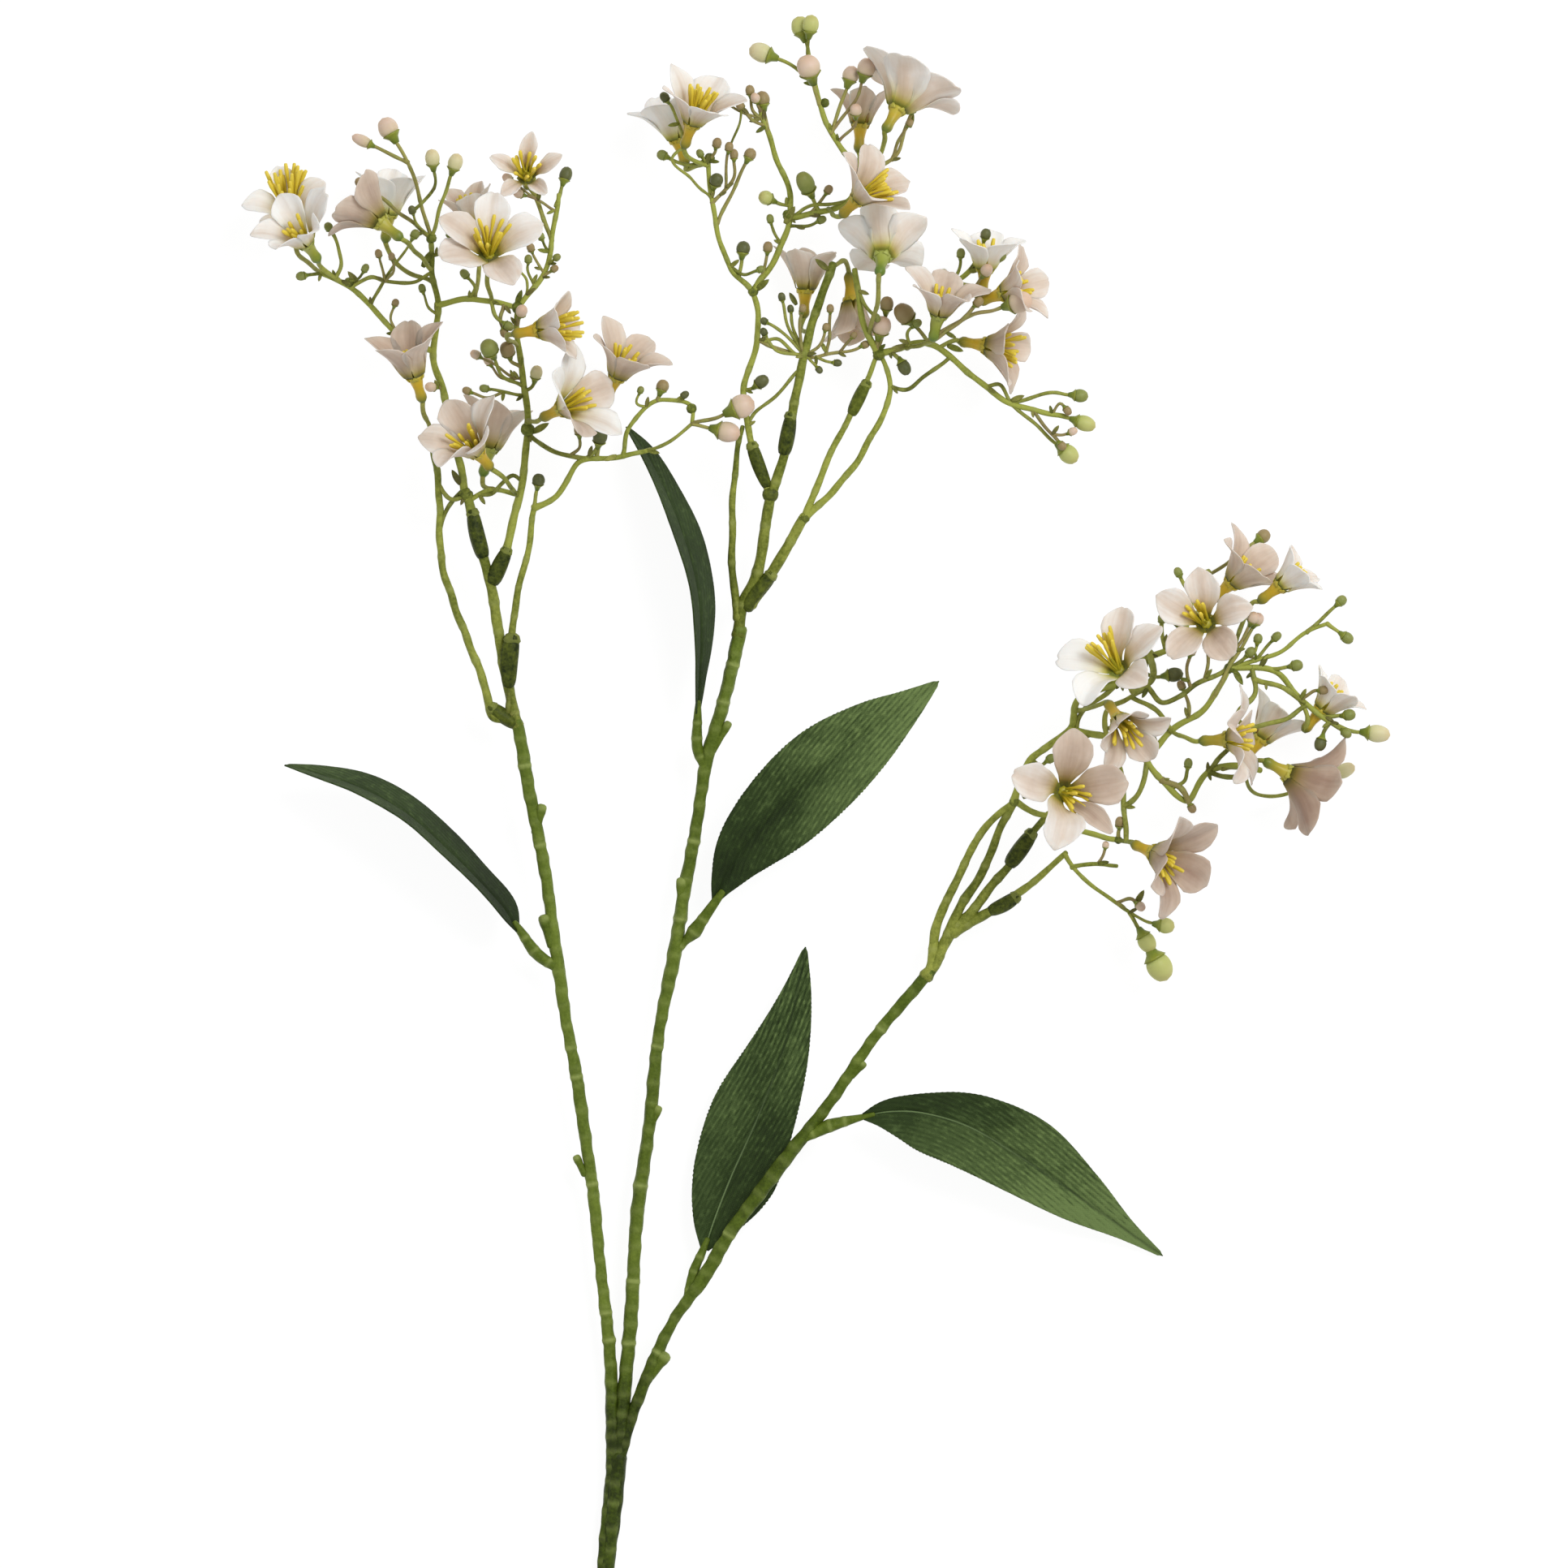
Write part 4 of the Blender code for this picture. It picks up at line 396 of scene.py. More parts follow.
RIGHT_TWIGS = (
    (((104, 70), (97, 70.6), (93, 68), (90, 65), (88, 61), (86.6, 55)), 1.1, 1.1, 0.5, "", 0),
    (((104, 70), (97, 64.6), (92, 61), (89, 57), (88, 53.6)), 1.0, 1.0, -1, "", 0),
    (((86, 54), (85, 51), (88, 50), (95, 52)), 0.9, 0.9, 1, "", 0),
    (((120, 83), (118, 88), (118, 91)), 1.0, 0.9, 3, "green", 3.0),
    (((114, 80), (115, 75), (114, 70), (113.4, 65)), 1.5, 1.2, 1, "", 0),
    (((114, 68), (118, 63), (124, 65), (130, 69), (136, 72), (141, 74.5)), 1.1, 1.1, 1, "", 0),
    (((101, 50.4), (104, 38), (104, 26)), 1.2, 1.1, -2, "", 0),
    (((104, 28), (110, 31), (113, 43)), 1.1, 1.1, 2, "", 0),
    (((118, 36), (124, 33.6), (128, 27)), 1.3, 1.1, 1, "brown", 3.0),
    (((150, 74), (150, 66), (145, 60), (144, 57), (148, 54.6), (160, 57), (168, 61)), 1.1, 1.0, 3, "", 0),
    (((134, 39), (139, 44.6), (146, 53)), 1.1, 0.9, 3, "green", 3.4),
    (((134, 39), (139, 37.2), (144, 37.4), (150, 40)), 1.1, 1.0, 2, "", 0),
    (((153, 72), (160, 67.6), (168, 62.4)), 1.1, 1.0, 4, "", 0),
    (((141, 74.5), (145, 77), (148, 79.6)), 0.8, 0.8, 2, "green", 3.4),
    (((144, 79), (146, 85), (149, 91)), 0.8, 0.7, 5, "pink", 4.0),
    (((147, 77.4), (150, 80), (151, 84)), 0.8, 0.7, 2, "green", 3.2),
    (((150, 76.6), (154, 82), (157, 85)), 0.8, 0.7, 3, "green", 3.0),
    (((176, 56), (174, 52.6), (173, 49.6)), 0.9, 0.8, 1, "dark", 4.2),
    (((174, 57.4), (178, 58), (181.6, 58.4)), 0.9, 0.8, 2, "green", 4.0),
    (((176, 56), (179, 54), (181, 52.6)), 0.8, 0.8, 3, "green", 3.2),
    (((166, 64), (170, 66.6), (173, 67)), 0.8, 0.8, 2, "brown", 3.0),
    (((107, -9.6), (113, -13), (118, -14)), 0.7, 0.7, 1, "lime", 5.4),
    (((102, -6.6), (107, -5), (110, -7)), 0.8, 0.8, 2, "pink", 3.2),
    (((72.6, 42.6), (76, 41.4), (79, 43)), 0.9, 0.8, 1, "green", 3.2),
    (((112, 44), (107, 46.6), (103, 46)), 0.8, 0.8, 2, "green", 2.8),
    (((98, 53), (99, 60), (106, 64), (113, 66)), 1.1, 1.0, 0, "", 0),
    (((121, 53), (118, 58), (113, 62), (107, 62.6)), 1.1, 1.0, 2, "", 0),
    (((126, 57), (127, 63), (125, 68)), 0.9, 0.8, 3, "brown", 3.0),
    (((128, 70), (126.6, 75), (128, 80)), 0.8, 0.8, 3, "pink", 3.4),
    (((133, 71), (134, 76), (133.4, 82)), 0.8, 0.8, 3, "brown", 3.0),
    (((126, 88), (121, 92), (120, 97)), 0.9, 0.8, 2, "green", 3.0),
    (((130, 100), (126, 103), (124, 107)), 0.9, 0.8, 2, "green", 3.0),
    (((131, 103), (134, 108), (139, 112)), 1.1, 1.0, 3, "", 0),
    (((96, 7.2), (98, 10), (98.6, 13)), 0.7, 0.7, 1, "pink", 2.4),
    (((121, 31.4), (126, 36), (127, 41)), 0.9, 0.8, 2, "green", 3.0),
)
RIGHT_BRACTS = ((109, -7, 18.6, 60, 6.0), (116, 46, 26.4, 100, 6.5), (143, 74, 25.4, 300, 6.0),
                (70, 30, 22.4, 30, 6.0), (114, 78, 26.4, 120, 6.0), (152, 75, 25.4, 60, 5.5))
RIGHT_BLOOMS = (
    ((103, 74, 50), (-0.35, 0.50, 0.80), (81, 79), 84, 1.04, ((113.4, 78, 26), (108, 66, 40))),
    ((103, 57, 42), (0.40, -0.60, 0.60), (98, 42), 64, 0.86, ((89, 60, 24.6), (97, 62, 36))),
    ((84, 32, 48), (0.20, 0.05, 0.95), (86, 53.5), 84, 1.10, ((72, 42, 23), (81, 34, 34))),
    ((133, 90, 52), (-0.15, 0.20, 0.95), (133, 108), 80, 0.94, ((123, 83.6, 24), (133, 88, 38))),
    ((140, 50, 42), (0.95, 0.05, 0.20), (146, 70), 100, 0.96, ((121, 53, 26), (129, 49.6, 39))),
    ((152, 50, 14), (0.55, 0.75, -0.10), (155, 62), 46, 0.80, ((139, 40, 22), (146, 41, 17))),
    ((161, 38.6, 30), (0.80, -0.42, -0.30), (183, 30), 70, 1.08, ((146, 41, 22), (149.6, 42.4, 27.6))),
    ((173, 60, 22), (0.60, 0.70, 0.10), (187, 69), 50, 0.72, ((165, 65, 25), (168.6, 57, 24))),
    ((115, 11, 38), (0.78, -0.34, 0.52), (134, 21), 72, 1.14, ((103, 15.4, 22), (108, 14.6, 31))),
    ((142, 104, 24), (0.60, 0.55, 0.25), (148, 122), 60, 0.96, ((131, 103, 23), (134, 99, 22))),
    ((158.6, 103, 40), (0.72, 0.55, 0.20), (170, 116), 44, 0.68, ((141, 75, 25), (149, 97, 37))),
)

# Blooms: the same plan as in the solids.
PETALS = 5
PETAL_LENGTH = 19.0
PETAL_HALF_WIDTH = 6.4
RING_RADIUS = 3.3
RING_HEIGHT = 0.9
EARLY_BEND = 0.45
PETAL_DISH = 0.5
BEND_SPREAD = (0.94, 1.06)
SIZE_SPREAD = (0.96, 1.03)
CALYX_LENGTH = 9.0
# A petal's half width along it, as a part of the largest.
PETAL_OUTLINE = ((0.0, 0.30), (0.17, 0.47), (0.38, 0.82), (0.60, 1.0), (0.80, 0.95), (0.93, 0.79),
                 (1.0, 0.62))

# The petals' finer form. An EASE is the share of the petal where something starts and the share over which
# it grows.
PETAL_THICKNESS = 0.26
PETAL_ROWS = 20
PETAL_COLUMNS = 15
BEND_EASE = (0.0, 0.35)
FOLD_EASE = (0.08, 0.35)
DISH_EASE = (0.0, 0.4)
TURN_EASE = (0.0, 0.5)
CURL_EASE = (0.55, 0.45)
TIP_ROUNDING = 0.07
NOTCH_WIDTH = 0.2
RAGGED_WAVES = 5.3
EDGE_WAVE = 0.05
CREASE_SOFTNESS = 0.02
CREASE_DEPTH = 0.14
# A petal's foot inside the ring, down into the calyx: (radius, height) of its rows.
THROAT = ((1.7, -0.5), (2.5, 0.35))
THROAT_ALONG = (-0.15, -0.05)
THROAT_FILL = 0.98
# How petals differ from one another: the least and the most of each trait. A fold is in degrees.
PETAL_SPREAD = {
    "notch": (-0.03, 0.05), "wide": (0.98, 1.10), "cup": (0.0, 0.9), "wave": (0.1, 0.5), "waves": (0.8, 1.6),
    "phase": (0, 6.28), "skew": (-1.2, 1.2), "twist": (-0.6, 0.6), "curl": (-1.6, 0.6),
    "round": (0.17, 0.27), "lean": (-0.18, 0.18), "ragged": (0.0, 0.014), "fold": (2, 24),
    "wrinkle": (0.05, 0.24), "folds": (1.3, 2.4), "roll": (-0.9, 0.4), "sway": (-0.13, 0.13),
}
SHADE_SPREAD = (-0.2, 0.2)
# What sets single petals apart, by their number from the first. A shade over 0 is painted shade and one under
# 0 is a painted highlight, set petal by petal.
PETAL_LOOKS = {
    "petals_left_3": {i: {"wide": 1.2} for i in range(PETALS)},
    "petals_left_5": {i: {"wide": 0.75, "round": 0.34} for i in range(PETALS)},
    "petals_left_6": {1: {"shade": 0.2}, 2: {"shade": 0.3}},
    "petals_left_12": {0: {"shade": -0.4}, 1: {"shade": -0.1}, 2: {"shade": 0.5}, 4: {"shade": 0.3}},
    "petals_middle_3": {i: {"wide": 1.28, "curl": -0.6} for i in range(PETALS)},
    "petals_middle_6": {i: {"wide": 1.22} for i in range(PETALS)},
    "petals_right_1": {0: {"shade": -0.6}, 1: {"shade": -0.4}, 2: {"shade": 0.3}, 3: {"shade": 0.2},
                       4: {"shade": 0.2}},
    "petals_right_3": {1: {"shade": -0.8}, 2: {"shade": -0.6}, 3: {"wide": 0.55, "round": 0.3},
                       4: {"shade": 0.1}},
    "petals_right_4": {0: {"shade": -0.2}, 2: {"shade": 0.3}, 3: {"shade": 0.3}},
}
# How far each petal is turned out of its place in the ring, in degrees.
PETAL_TURNS = {
    "petals_left_6": (-2, -20, -12, 10, 2),
    "petals_middle_3": (0, -14, -26, -28, -4),
    "petals_middle_6": (0, -8, -16, -8, 0),
    "petals_right_1": (0, -8, 0, -6, -22),
    "petals_right_3": (0, 13, 32, 15, -4),
}
# Each spray's petals' colour, bloom by bloom: 0 is white, 1 is blush, 2 is taupe. Blooms that lie in shade
# are set darker, so these values are partly painted shade.
PETAL_TINTS_AND_SHADES = {
    "left": (0.30, 0.30, 1.30, 0.0, 0.85, 0.60, 0.80, 0.80, 1.15, 0.85, 0.85, 0.50, 1.10),
    "middle": (0.20, 0.55, 0.55, 0.95, 0.90, 0.35, 1.05, 0.95, 0.90, 0.05, 0.90, 1.05),
    "right": (0.40, 0.75, 1.30, 0.80, 0.90, 0.55, 1.60, 0.30, 1.40, 0.90, 0.40),
}

# Calyces: (height, radius) from the foot up, then (height, radius over the rim's), then the floor inside.
CALYX_CUP = ((-0.6, 0.9), (0.0, 1.35), (0.8, 1.85), (1.8, 1.95), (3.0, 1.75), (4.5, 1.7), (6.0, 1.95),
             (7.4, 2.3))
CALYX_RIM = ((8.6, 0.0), (9.35, 0.35), (9.2, -0.1), (8.2, -0.65))
CALYX_FLOOR = (7.0, 1.2)
RIM_RADIUS = 2.75
# Rows of a tooth: (reach over the rim, half width, share of the calyx's length).
TOOTH = ((0.0, 1.15, 0.9), (0.7, 1.05, 0.95), (1.4, 0.62, 1.0), (2.0, 0.12, 1.05))
TOOTH_ACROSS = (-1, -0.4, 0.4, 1)
TOOTH_THICKNESS = 0.3
# Calyces' colour: 0 is green, 1 is orange-yellow. The others have the plain one.
PLAIN_CALYX = 0.85
CALYX_TONES = {
    "left_1": 0.2, "left_2": 0.15, "left_3": 0.35, "left_4": 0.4, "left_5": 0.3, "left_6": 1.0,
    "left_8": 1.0, "left_11": 0.1, "left_12": 0.8, "middle_3": 0.6, "middle_6": 0.05, "middle_9": 0.1,
    "right_5": 0.6, "right_7": 0.5,
}

# Stamens: number, length, spread and, where they are drawn to one side, the way in x and y.
PLAIN_STAMENS = (8, 9.6, 1.0)
STAMEN_PLANS = {
    "left_1": (22, 15.0, 1.25, (0.0, 0.9)), "left_5": (9, 9.0, 1.2, (0.0, 0.3)),
    "left_6": (11, 11.5, 1.2, (0.0, 0.5)), "left_8": (15, 14.5, 1.1), "left_10": (9, 12.0, 1.2),
    "left_12": (9, 10.5, 0.8, (0.5, 0.2)), "left_13": (9, 11.0, 1.0), "middle_2": (11, 14.0, 0.8),
    "middle_5": (13, 13.0, 1.0, (0.8, 0.2)), "middle_12": (14, 12.5, 1.3),
    "right_1": (12, 15.0, 0.7, (-0.3, 0.5)), "right_2": (11, 11.0, 1.3),
    "right_3": (10, 9.5, 1.1, (0.6, -0.5)), "right_4": (9, 9.5, 1.0, (-0.4, 0.5)),
    "right_9": (11, 11.0, 1.2, (0.0, -0.4)),
}
STAMEN_LEAN = 0.32      # part of the bloom's opening
MOST_LEAN = 24.0        # degrees
STAMEN_FOOT = (0.95, -1.6)      # distance from the bloom's axis, and height
STAMEN_STEPS = 7
STAMEN_RADIUS = 0.46
STAMEN_TAPER = 0.06
TIP_SWELL = 0.34
TIP_EASE = (0.62, 0.2)
# The cushion that the stamens stand on: (height, radius).
CUSHION = ((-2.4, 1.2), (-1.2, 1.9), (-0.2, 2.1), (0.5, 1.8), (0.9, 1.1), (1.0, 0.2))

# Buds: the place of each kind's colour, and the small cup as (height, radius), parts of the bud's width.
BUD_KINDS = {"pink": 0.0, "cream": 0.2, "lime": 0.4, "green": 0.6, "dark": 0.8, "brown": 1.0}
PALE_BUDS = ("pink", "cream", "lime")
TWIG_WARMTH = {"pink": 0.75, "brown": 0.6, "dark": 0.15}
BUD_CUP = ((-0.35, 0.16), (-0.05, 0.26), (0.10, 0.40), (0.20, 0.50), (0.16, 0.40))
BRACT_THICKNESS = 0.35

# Stalks and stem.
THIN_STALK = 1.5        # radius under which a stalk is thin
# The two rings that round off a tube's end: (way out, radius), as parts of the tube's radius there.
DOME = ((0.42, 0.86), (0.66, 0.5))
CAP = 0.1               # height of an end's last point, as a part of its ring's radius
# Rows of a knob's lumps: (place, radius), as parts of the knob's radius.
KNOB_ROWS = ((-0.5, 0.62), (-0.2, 0.9), (0.15, 0.92), (0.5, 0.66))
LEAF_STALKS = (LEAF_STALK_LEFT, LEAF_STALK_NARROW, LEAF_STALK_LARGE, LEAF_STALK_LOWER, LEAF_STALK_RIGHT)
LEAF_STALK_RINGS = (4.0, 10.5, 16.0)
BRANCH_SLIM = 0.14      # taken off the radius, as the joint rings stand out
# From DARK_FOOT down the stem darkens to DARK_TONE: painted shade in the gap where the strands fork, and
# darker on down the trunk.
DARK_FOOT = (158, 36)   # how far below the middle the stem starts to darken, and over which length
DARK_TONE = 0.12

# Leaves: their looks. A patch is (place along, place across, length, width, strength): painted highlight
# where the strength is over 0, painted shade where it is under 0.
LEAF_THICKNESS = 0.5
LEAF_ROWS = 150
LEAF_COLUMNS = 41
POINT_EASE = (0.985, 0.015)
MIDRIB_DEPTH = 0.55
MIDRIB_WIDTH = 0.8
# In a look, crease sets the painted shade in the midrib's groove, and side lightens one half of the blade and
# darkens the other as painted light.
LEAF_LOOK = {"teeth": 0.05, "tooth_pitch": 1.6, "slant": 0.9, "vein": 0.12, "vein_pitch": 7.0, "wave": 0.5,
             "wave_pitch": 34.0, "droop": -0.4, "tone": 0.15, "tip": 0.5, "side": 0.0, "light_and_shade_patches": (),
             "fibres": 8, "pale": 0.0, "weave": 1.0, "crease": 0.5}
SIDEWAYS_LEAF = {**LEAF_LOOK, "vein": 0.015, "wave": 0.12, "droop": -0.15, "teeth": 0.02, "weave": 0.30,
                 "crease": 0.3}
# (name of the piece, node that it stands for, table of the blade, look).
LEAVES = (
    ("blade_left", "leaf_left", LEAF_LEFT, {
        **SIDEWAYS_LEAF, "tone": 0.10, "tip": 0.25,
        "light_and_shade_patches": ((0.10, 0.0, 0.16, 0.9, -0.16), (0.30, 0.9, 0.20, 0.5, -0.10),
                    (0.92, 0.6, 0.08, 0.5, 0.12))}),
    ("blade_narrow", "leaf_narrow", LEAF_NARROW, {**SIDEWAYS_LEAF, "tone": 0.14, "tip": 0.12}),
    ("blade_large", "leaf_large", LEAF_LARGE, {
        **LEAF_LOOK, "tone": 0.07, "tip": 0.82, "side": 0.07, "fibres": -12, "crease": 0.2,
        "light_and_shade_patches": ((0.40, 0.0, 0.24, 0.34, -0.22), (0.56, -0.35, 0.05, 0.18, 0.22),
                    (0.35, -0.35, 0.05, 0.14, 0.16), (0.45, 0.75, 0.16, 0.30, 0.12),
                    (0.25, -0.85, 0.25, 0.20, 0.10))}),
    ("blade_lower", "leaf_lower", LEAF_LOWER, {
        **LEAF_LOOK, "tone": 0.22, "tip": 0.26, "side": -0.03, "pale": 1.0,
        "light_and_shade_patches": ((0.62, 0.5, 0.12, 0.35, 0.22), (0.42, -0.6, 0.22, 0.4, 0.14),
                    (0.40, 0.5, 0.16, 0.4, -0.12))}),
    ("blade_right", "leaf_right", LEAF_RIGHT, {
        **LEAF_LOOK, "tone": 0.15, "tip": 1.04, "side": 0.14, "fibres": 5, "pale": 1.0,
        "light_and_shade_patches": ((0.30, -0.5, 0.16, 0.4, -0.10), (0.60, 0.0, 0.20, 0.12, -0.14),
                    (0.75, 0.5, 0.12, 0.3, 0.10))}),
)

# Floor, lights and sky, in metres. LIGHTS: (name, place, diameter, power).
FLOOR_HALF = 3.0
FLOOR_DROP = 0.0003
FLOOR_GREY = 0.14
FLOOR_GLOW = 0.91
LIGHTS = (("key", (0.9, 0.9, 1.6), 1.1, 24.0), ("fill", (-1.2, -0.4, 1.4), 1.6, 4.0))
SKY = 0.52
WHITE = (1, 1, 1)
VIEW_REACH = 100.0


class Shape:
    """Vertices, faces and per-vertex values of one piece, gathered before its mesh is made."""

    def __init__(self):
        self.points = []
        self.faces = []
        self.values = {}
        self.count = 0

    def add(self, points, faces, **values):
        points = np.asarray(points, float).reshape(-1, 3)
        self.points.append(points)
        self.faces.extend([tuple(self.count + corner for corner in face) for face in faces])
        for name, value in values.items():
            column = self.values.setdefault(name, [])
            column.append((self.count, np.broadcast_to(np.asarray(value, float), (len(points),)).copy()))
        self.count += len(points)

    def make(self, name, material):
        mesh = bpy.data.meshes.new(name)
        points = np.concatenate(self.points) * MM
        points[:, 2] = np.maximum(points[:, 2], 0.0)
        mesh.from_pydata(points.tolist(), [], self.faces)
        for key, parts in self.values.items():
            data = np.zeros(self.count, np.float32)
            for start, values in parts:
                data[start:start + len(values)] = values
            attribute = mesh.attributes.new(key, "FLOAT", "POINT")
            attribute.data.foreach_set("value", data)
        mesh.polygons.foreach_set("use_smooth", [True] * len(mesh.polygons))
        mesh.materials.append(material)
        mesh.validate()
        mesh.update()
        obj = bpy.data.objects.new(name, mesh)
        bpy.context.scene.collection.objects.link(obj)
        return obj


def unit(v):
    """The same direction at length 1."""
    return v / np.maximum(np.linalg.norm(v, axis=-1, keepdims=True), 1e-9)


def eased(t, start, span):
    """0 up to the start, 1 from start + span on, and smooth between them."""
    t = np.clip((t - start) / span, 0.0, 1.0)
    return t * t * (3 - 2 * t)


def curve_through(points, step):
    """Evenly close points on a smooth curve through these rows; every column is carried along."""
    rows = np.array(points, float)
    rows = np.vstack((2 * rows[0] - rows[1], rows, 2 * rows[-1] - rows[-2]))
    samples = []
    for i in range(1, len(rows) - 2):
        p0, p1, p2, p3 = rows[i - 1:i + 3]
        gaps = [max(np.linalg.norm((b - a)[:3]), 1e-6) ** 0.5 for a, b in ((p0, p1), (p1, p2), (p2, p3))]
        t0, t1 = 0.0, gaps[0]
        t2 = t1 + gaps[1]
        t3 = t2 + gaps[2]
        count = max(2, int(math.ceil(np.linalg.norm((p2 - p1)[:3]) / step)))
        t = np.linspace(t1, t2, count, endpoint=False)[:, None]
        a1 = (t1 - t) / (t1 - t0) * p0 + (t - t0) / (t1 - t0) * p1
        a2 = (t2 - t) / (t2 - t1) * p1 + (t - t1) / (t2 - t1) * p2
        a3 = (t3 - t) / (t3 - t2) * p2 + (t - t2) / (t3 - t2) * p3
        b1 = (t2 - t) / (t2 - t0) * a1 + (t - t0) / (t2 - t0) * a2
        b2 = (t3 - t) / (t3 - t1) * a2 + (t - t1) / (t3 - t1) * a3
        samples.append((t2 - t) / (t2 - t1) * b1 + (t - t1) / (t2 - t1) * b2)
    samples.append(rows[-2][None])
    return np.concatenate(samples)


def lengths_along(route):
    """How far along a route each of its rows is."""
    steps = np.linalg.norm(np.diff(route[:, :3], axis=0), axis=1)
    return np.concatenate(([0.0], np.cumsum(steps)))


def tapered(first, last, points):
    """The points with a radius that goes evenly from the first to the last."""
    steps = max(len(points) - 1, 1)
    return [(*point, first + (last - first) * i / steps) for i, point in enumerate(points)]


def carried_frames(centres):
    """At each point of a route the way ahead, a side and an up vector, turned as little as possible."""
    ahead = unit(np.gradient(centres, axis=0))
    start = np.array((0.0, 0.0, 1.0)) if abs(ahead[0][2]) < 0.9 else np.array((1.0, 0.0, 0.0))
    side = np.cross(start, ahead[0])
    side = side / np.linalg.norm(side)
    sides = []
    for tangent in ahead:
        side = side - tangent * np.dot(side, tangent)
        side = side / max(np.linalg.norm(side), 1e-9)
        sides.append(side)
    sides = np.array(sides)
    return ahead, sides, np.cross(ahead, sides)


def tube_faces(count, sides):
    """The faces between this many rings of this many corners."""
    faces = []
    for i in range(count - 1):
        for j in range(sides):
            k = (j + 1) % sides
            faces.append((i * sides + j, i * sides + k, (i + 1) * sides + k, (i + 1) * sides + j))
    return faces


def sweep(shape, route, sides, ridges=0.0, rng=None, ends=(True, True), **values):
    """A tube along rows of (x, y, z, radius), with domed ends and a little unevenness."""
    route = np.asarray(route, float)
    plan = [(row, 0.0, 1.0) for row in range(len(route))]
    if ends[0]:
        plan = [(0, -out, share) for out, share in reversed(DOME)] + plan
    if ends[1]:
        plan += [(len(route) - 1, out, share) for out, share in DOME]
    pick, out, share = (np.array(column) for column in zip(*plan))
    ahead, side, up = (vectors[pick] for vectors in carried_frames(route[:, :3]))
    radius = route[pick, 3]
    centres = route[pick, :3] + ahead * radius[:, None] * out[:, None]
    radius = radius * share
    count = len(radius)
    angles = 2 * np.pi * np.arange(sides) / sides
    grown = radius[:, None] * np.ones(sides)[None]
    if ridges:
        phase = rng.uniform(0, 6.28)
        grown *= 1 + ridges * np.sin(3 * angles[None] + phase + 0.05 * np.arange(count)[:, None])
        grown *= 1 + ridges * 0.7 * np.sin(5 * angles[None] + phase * 2)
    ring = side[:, None] * np.cos(angles)[None, :, None] + up[:, None] * np.sin(angles)[None, :, None]
    points = centres[:, None] + ring * grown[:, :, None]
    points = np.vstack((points.reshape(-1, 3), centres[0] - ahead[0] * radius[0] * CAP,
                        centres[-1] + ahead[-1] * radius[-1] * CAP))
    faces = tube_faces(count, sides)
    first, last = count * sides, count * sides + 1
    for j in range(sides):
        k = (j + 1) % sides
        faces.append((first, k, j))
        faces.append((last, (count - 1) * sides + j, (count - 1) * sides + k))
    spread = {}
    for key, value in values.items():
        value = np.broadcast_to(np.asarray(value, float), (len(route),))[pick]
        spread[key] = np.concatenate((np.repeat(value, sides), value[:1], value[-1:]))
    shape.add(points, faces, **spread)


def ringed(route, at, width, swell, painted_midrib_shade):
    """The route with raised joint rings at these lengths, how near each row is to one, and its length."""
    route = np.array(route, float)
    length = lengths_along(route)
    near = np.zeros(len(route))
    for place in at:
        near = np.maximum(near, np.exp(-((length - place) / width) ** 2))
        route[:, 3] -= painted_midrib_shade * np.exp(-((length - place + 2.2 * width) / (1.2 * width)) ** 2)
    route[:, 3] += swell * near
    return route, near, length


def slab(shape, grid, thickness, **values):
    """A closed sheet of this thickness round a grid of points, rows by columns."""
    rows, columns, _ = grid.shape
    along = np.gradient(grid, axis=0)
    across = np.gradient(grid, axis=1)
    normal = unit(np.cross(across, along))
    top = grid + normal * thickness / 2
    bottom = grid - normal * thickness / 2
    points = np.vstack((top.reshape(-1, 3), bottom.reshape(-1, 3)))
    under = rows * columns
    faces = []
    for i in range(rows - 1):
        for j in range(columns - 1):
            a = i * columns + j
            b, c, d = a + 1, a + columns + 1, a + columns
            faces.append((a, b, c, d))
            faces.append((under + a, under + d, under + c, under + b))
    loop = list(range(columns))
    loop += [i * columns + columns - 1 for i in range(1, rows)]
    loop += [(rows - 1) * columns + j for j in range(columns - 2, -1, -1)]
    loop += [i * columns for i in range(rows - 2, 0, -1)]
    for a, b in zip(loop, loop[1:] + loop[:1]):
        faces.append((a, under + a, under + b, b))
    doubled = {key: np.tile(np.asarray(value, float).reshape(-1), 2) for key, value in values.items()}
    shape.add(points, faces, **doubled)


def revolve(shape, base, axis, profile, sides, lobes=0.0, lobe_count=5, twist=0.0, **values):
    """A body of revolution from (height, radius) rows, placed with its foot at base."""
    up = np.array(Vector(axis).normalized())
    helper = np.array((1.0, 0, 0)) if abs(up[0]) < 0.8 else np.array((0, 1.0, 0))
    first = unit(np.cross(up, helper))
    second = np.cross(up, first)
    profile = np.array(profile, float)
    angles = 2 * np.pi * np.arange(sides) / sides
    heights, radii = profile[:, 0][:, None], profile[:, 1][:, None]
    top = (heights - heights.min()) / max(np.ptp(heights), 1e-6)
    wave = np.cos(lobe_count * angles[None] + twist * top)
    radii = radii * (1 + lobes * wave * np.sin(np.pi * np.clip(top, 0, 1)))
    points = (np.array(base, float) + up * heights[..., None] + radii[..., None]
              * (first * np.cos(angles)[None, :, None] + second * np.sin(angles)[None, :, None]))
    count = len(profile)
    faces = tube_faces(count, sides)
    faces.append(tuple(reversed(range(sides))))
    faces.append(tuple((count - 1) * sides + j for j in range(sides)))
    spread = {}
    for key, value in values.items():
        value = np.asarray(value, float)
        value = np.repeat(value, sides) if value.shape == (count,) else np.full(count * sides, float(value))
        spread[key] = value
    shape.add(points.reshape(-1, 3), faces, **spread)


